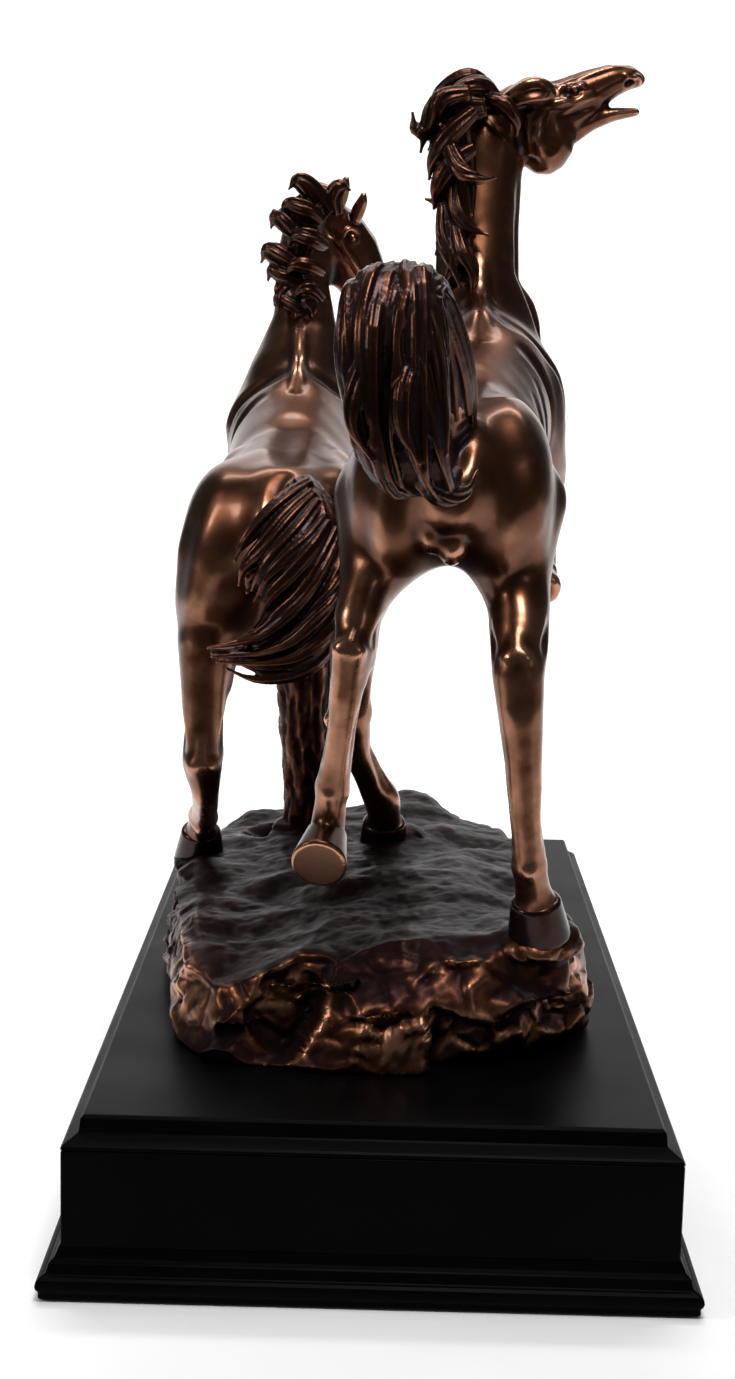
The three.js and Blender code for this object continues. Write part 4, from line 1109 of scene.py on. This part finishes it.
class STATUE_OT_hooves(bpy.types.Operator):
    """Builds the four hind hooves with walls and flat soles"""
    bl_idname = "statue.hooves"
    bl_label = "Hind hooves"

    def execute(self, context):
        finish = context.scene.statue
        for horse in HORSES:
            for side, joints in HIND_LEGS[horse].items():
                bm = bmesh.new()
                top, bottom = HOOF_WIDTHS[horse, side]
                coronet, toe = at(joints[3]), at(joints[4])
                facing = (toe - coronet).normalized()
                toe += facing * 0.7 * MM
                turned = facing.to_track_quat("-Z", "Y").to_matrix().to_4x4()
                bmesh.ops.create_cone(bm, cap_ends=True, segments=48, radius1=(bottom + 1) * MM,
                                      radius2=(top + 0.9) * MM, depth=(coronet - toe).length,
                                      matrix=Matrix.Translation((coronet + toe) / 2) @ turned)
                rims = [edge for edge in bm.edges if edge.calc_face_angle(0) > 0.9]
                bmesh.ops.bevel(bm, geom=rims, offset=1.1 * MM, offset_type="OFFSET", segments=4,
                                profile=0.5, affect="EDGES", material=-1, clamp_overlap=True)
                wall = mesh_from(bm, f"{horse}_hind_hoof_{side}")
                piece = fuse(wall, finish.face_grain / MM, UPRIGHT_GRID)
                skin = Skin(piece)
                skin.smooth(2)
                soles = np.clip(skin.normals() @ np.array(facing) * 4 - 3, 0, 1) * 0.45
                skin.store()
                skin.mark_rise(*HOOF_RELIEF, soles)
                shade_smooth(piece)
                raised = (horse, side) == RAISED_HOOF
                name = "bronze_plate_buffed" if raised else "bronze_plate_hoof"
                finish_piece(piece, bronze(name, finish), "bronze")
        return {"FINISHED"}


class STATUE_OT_rock(bpy.types.Operator):
    """Builds the broken rock and the tree stump that stands on it"""
    bl_idname = "statue.rock"
    bl_label = "Rock and stump"

    def execute(self, context):
        finish = context.scene.statue
        bm = cad_copies("rock_base")
        for centre, radii in MOUNDS:
            add_ball(bm, centre, radii)
        piece = keep_shell(fuse(mesh_from(bm, "rock"), finish.rock_grain / MM))
        skin = Skin(piece)
        skin.smooth(8)
        floor = skin.points[:, 2].min()
        break_rock(skin, floor)
        chip_rock(skin, floor, finish.rock_chips)
        roughen_rock(skin, floor)
        shade_smooth(piece)
        finish_piece(piece, bronze("bronze_plate_rock", finish), "dark_bronze", "rock_base")

        piece = keep_shell(fuse(mesh_from(cad_copies("tree_stump"), "stump_bark"), BARK_GRAIN))
        skin = Skin(piece)
        skin.smooth(10)
        normals = skin.normals()
        bark = np.array([
            noise.fractal(Vector((x / 3, y / 3, z / 11)), 0.9, 2.1, 4) for x, y, z in skin.points
        ])
        skin.points += normals * (bark * 1.3)[:, None]
        skin.store()
        skin.mark_rise(*BARK_RELIEF)
        shade_smooth(piece)
        finish_piece(piece, bronze("bronze_plate_rock", finish), "dark_bronze", "tree_stump")
        return {"FINISHED"}


class STATUE_OT_plinth(bpy.types.Operator):
    """Builds the plinth's boards and mouldings with eased, lacquered edges"""
    bl_idname = "statue.plinth"
    bl_label = "Plinth"

    def execute(self, context):
        finish = context.scene.statue
        lacquer = black_lacquer(finish)
        for node in PLINTH_NODES:
            bm = cad_copies(node)
            bmesh.ops.dissolve_limit(bm, angle_limit=math.radians(1), verts=bm.verts, edges=bm.edges)
            sharp = [edge for edge in bm.edges if edge.calc_face_angle(0) > math.radians(35)]
            bmesh.ops.bevel(bm, geom=sharp, offset=finish.plinth_edge, offset_type="OFFSET", segments=3,
                            profile=0.5, affect="EDGES", material=-1, clamp_overlap=True)
            piece = mesh_from(bm, node + "_lacquered")
            finish_piece(piece, lacquer, "lacquer", node)
        return {"FINISHED"}


class STATUE_OT_fixings(bpy.types.Operator):
    """Finishes the parts inside the plinth: blocks, panel, screws, washers, inserts and dowels"""
    bl_idname = "statue.fixings"
    bl_label = "Fixings"

    def execute(self, context):
        pine = sawn_pine()
        steel = turned_metal("zinc_plated_steel", "#8F949A", "#C9CED3", 0.32)
        brass = turned_metal("turned_brass", "#A5803C", "#D9B869", 0.28)
        finishes = {
            "screw": steel, "washer": steel, "dowel": steel, "insert": brass, "block": pine, "panel": pine,
        }
        for name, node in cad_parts.items():
            for word, material in finishes.items():
                if word in name:
                    node.data.materials.clear()
                    node.data.materials.append(material)
        return {"FINISHED"}


class STATUE_OT_felt(bpy.types.Operator):
    """Builds the felt that is glued under the bottom panel"""
    bl_idname = "statue.felt"
    bl_label = "Felt"

    def execute(self, context):
        low, high = (Vector(corner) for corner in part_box("felt_pad"))
        size = high - low
        bm = bmesh.new()
        placing = Matrix.Translation((low + high) / 2) @ Matrix.Diagonal((*size, 1))
        bmesh.ops.create_cube(bm, size=1, matrix=placing)
        upright = [edge for edge in bm.edges if abs(edge.verts[0].co.z - edge.verts[1].co.z) > size.z / 2]
        bmesh.ops.bevel(bm, geom=upright, offset=3 * MM, offset_type="OFFSET", segments=5,
                        profile=0.5, affect="EDGES", material=-1, clamp_overlap=True)
        piece = mesh_from(bm, "felt_sheet")
        finish_piece(piece, pressed_felt(), "felt", "felt_pad")
        return {"FINISHED"}


LIGHTS = (  # name, place, aim, size, power, and whether polished metal mirrors it
    ("key_box", (0.1, -0.5, 1.3), (0, 0, 0.2), (0.4, 0.34), 9, True),
    ("left_box", (-1.25, -0.5, 0.85), (0, 0, 0.2), (0.3, 0.36), 4.2, True),
    ("right_strip", (1.1, -1.1, 0.6), (0, 0, 0.2), (0.2, 0.4), 0.5, True),
    ("overhead", (0, 0.3, 1.4), (0, 0.3, 0), (1.0, 1.0), 9, False),
    ("backdrop_wash", (0, 0.7, 1.6), (0, 1.9, 0.3), (1.8, 0.5), 34, True),
)


def backdrop_paper():
    """Seamless studio paper: matt and near white, with a barely uneven tone."""
    material, tree, shader = new_material("backdrop_paper")
    grain = add_node(tree, "ShaderNodeTexNoise", Vector=object_place(tree), Scale=1 / (60 * MM), Detail=2)
    tone = add_node(tree, "ShaderNodeValToRGB", Fac=grain, stops=[
        (0.3, linear("#F2F2F2")), (0.7, linear("#F6F6F6")),
    ])
    tree.links.new(tone, shader.inputs["Base Color"])
    shader.inputs["Roughness"].default_value = 0.9
    return material


def backdrop():
    """A floor that sweeps up into a wall behind the statue."""
    bm = bmesh.new()
    near_left = bm.verts.new((-FLOOR_HALF_WIDTH, FLOOR_FRONT, 0))
    near_right = bm.verts.new((FLOOR_HALF_WIDTH, FLOOR_FRONT, 0))
    front = bm.edges.new((near_left, near_right))
    floor = bmesh.ops.extrude_edge_only(bm, edges=[front])
    rear = [item for item in floor["geom"] if isinstance(item, bmesh.types.BMVert)]
    bmesh.ops.translate(bm, verts=rear, vec=(0, FLOOR_DEPTH, 0))
    end = FLOOR_FRONT + FLOOR_DEPTH
    far = [edge for edge in bm.edges if all(vert.co.y > end - 0.1 for vert in edge.verts)]
    swept = bmesh.ops.spin(bm, geom=far, cent=(0, end, COVE_RADIUS), axis=(1, 0, 0),
                           angle=math.radians(90), steps=12)
    edges = [item for item in swept["geom_last"] if isinstance(item, bmesh.types.BMEdge)]
    wall = bmesh.ops.extrude_edge_only(bm, edges=edges)
    raised = [item for item in wall["geom"] if isinstance(item, bmesh.types.BMVert)]
    bmesh.ops.translate(bm, verts=raised, vec=(0, 0, WALL_HEIGHT))
    bmesh.ops.recalc_face_normals(bm, faces=bm.faces)
    sheet = mesh_from(bm, "backdrop")
    shade_smooth(sheet)
    sheet.data.materials.append(backdrop_paper())


def room(scene):
    """Air that is white behind the statue and dim in its reflections."""
    world = bpy.data.worlds.new("studio")
    scene.world = world
    world.use_nodes = True
    air = world.node_tree
    seen = air.nodes.new("ShaderNodeLightPath").outputs["Is Camera Ray"]
    strength = add_node(air, "ShaderNodeMapRange", Value=seen, slot_3=ROOM_LIGHT, slot_4=1.0)
    air.links.new(strength, air.nodes["Background"].inputs["Strength"])
    air.nodes["Background"].inputs["Color"].default_value = (*linear("#FFFFFF"), 1)
    scene.view_settings.view_transform = "Standard"


def hang_lights(scene):
    """Soft boxes round the statue."""
    for name, place, aim, size, power, mirrored in LIGHTS:
        light = bpy.data.lights.new(name, "AREA")
        light.shape = "RECTANGLE"
        light.size, light.size_y = size
        light.energy = power
        holder = bpy.data.objects.new(name, light)
        holder.location = place
        holder.rotation_euler = (Vector(aim) - Vector(place)).to_track_quat("-Z", "Y").to_euler()
        holder.visible_camera = False
        holder.visible_glossy = mirrored
        scene.collection.objects.link(holder)


def set_camera(scene):
    """The camera in front of the statue, looking slightly down."""
    yaw, pitch, roll = (math.radians(angle) for angle in (CAMERA_YAW, CAMERA_PITCH, CAMERA_ROLL))
    ahead = Vector((math.sin(yaw) * math.cos(pitch), math.cos(yaw) * math.cos(pitch), -math.sin(pitch)))
    level = Vector((math.cos(yaw), -math.sin(yaw), 0))
    upright = level.cross(ahead)
    across = level * math.cos(roll) + upright * math.sin(roll)
    over = upright * math.cos(roll) - level * math.sin(roll)
    camera = bpy.data.cameras.new("camera")
    camera.lens = scene.statue.focal_length
    camera.sensor_width = 36
    camera.clip_end = 20
    holder = bpy.data.objects.new("camera", camera)
    turn = Matrix((across, over, -ahead)).transposed().to_4x4()
    holder.matrix_world = Matrix.Translation(CAMERA_PLACE) @ turn
    scene.collection.objects.link(holder)
    scene.camera = holder


class STATUE_OT_stage(bpy.types.Operator):
    """Sets the floor, the backdrop, the lights and the camera"""
    bl_idname = "statue.stage"
    bl_label = "Stage"

    def execute(self, context):
        backdrop()
        room(context.scene)
        hang_lights(context.scene)
        set_camera(context.scene)
        return {"FINISHED"}


class STATUE_PT_panel(bpy.types.Panel):
    """Lists the statue's settings and pieces"""
    bl_label = "Statue"
    bl_idname = "STATUE_PT_panel"
    bl_space_type = "VIEW_3D"
    bl_region_type = "UI"
    bl_category = "Statue"

    def draw(self, context):
        for name in StatueSettings.__annotations__:
            self.layout.prop(context.scene.statue, name)
        for operator in OPERATORS:
            self.layout.operator(operator.bl_idname)


OPERATORS = (
    STATUE_OT_stage, STATUE_OT_plinth, STATUE_OT_fixings, STATUE_OT_felt, STATUE_OT_rock, STATUE_OT_bodies,
    STATUE_OT_heads, STATUE_OT_hair, STATUE_OT_hooves,
)


def register():
    """Registers the settings, the operators and the panel."""
    for item in (StatueSettings, *OPERATORS, STATUE_PT_panel):
        bpy.utils.register_class(item)
    bpy.types.Scene.statue = PointerProperty(type=StatueSettings)


def unregister():
    """Takes everything out again."""
    del bpy.types.Scene.statue
    for item in (STATUE_PT_panel, *reversed(OPERATORS), StatueSettings):
        bpy.utils.unregister_class(item)


def main():
    """Builds the whole statue."""
    register()
    bpy.ops.statue.stage()
    bpy.ops.statue.plinth()
    bpy.ops.statue.fixings()
    bpy.ops.statue.felt()
    bpy.ops.statue.rock()
    bpy.ops.statue.bodies()
    bpy.ops.statue.heads()
    bpy.ops.statue.hair()
    bpy.ops.statue.hooves()


if __name__ == "__main__":
    main()
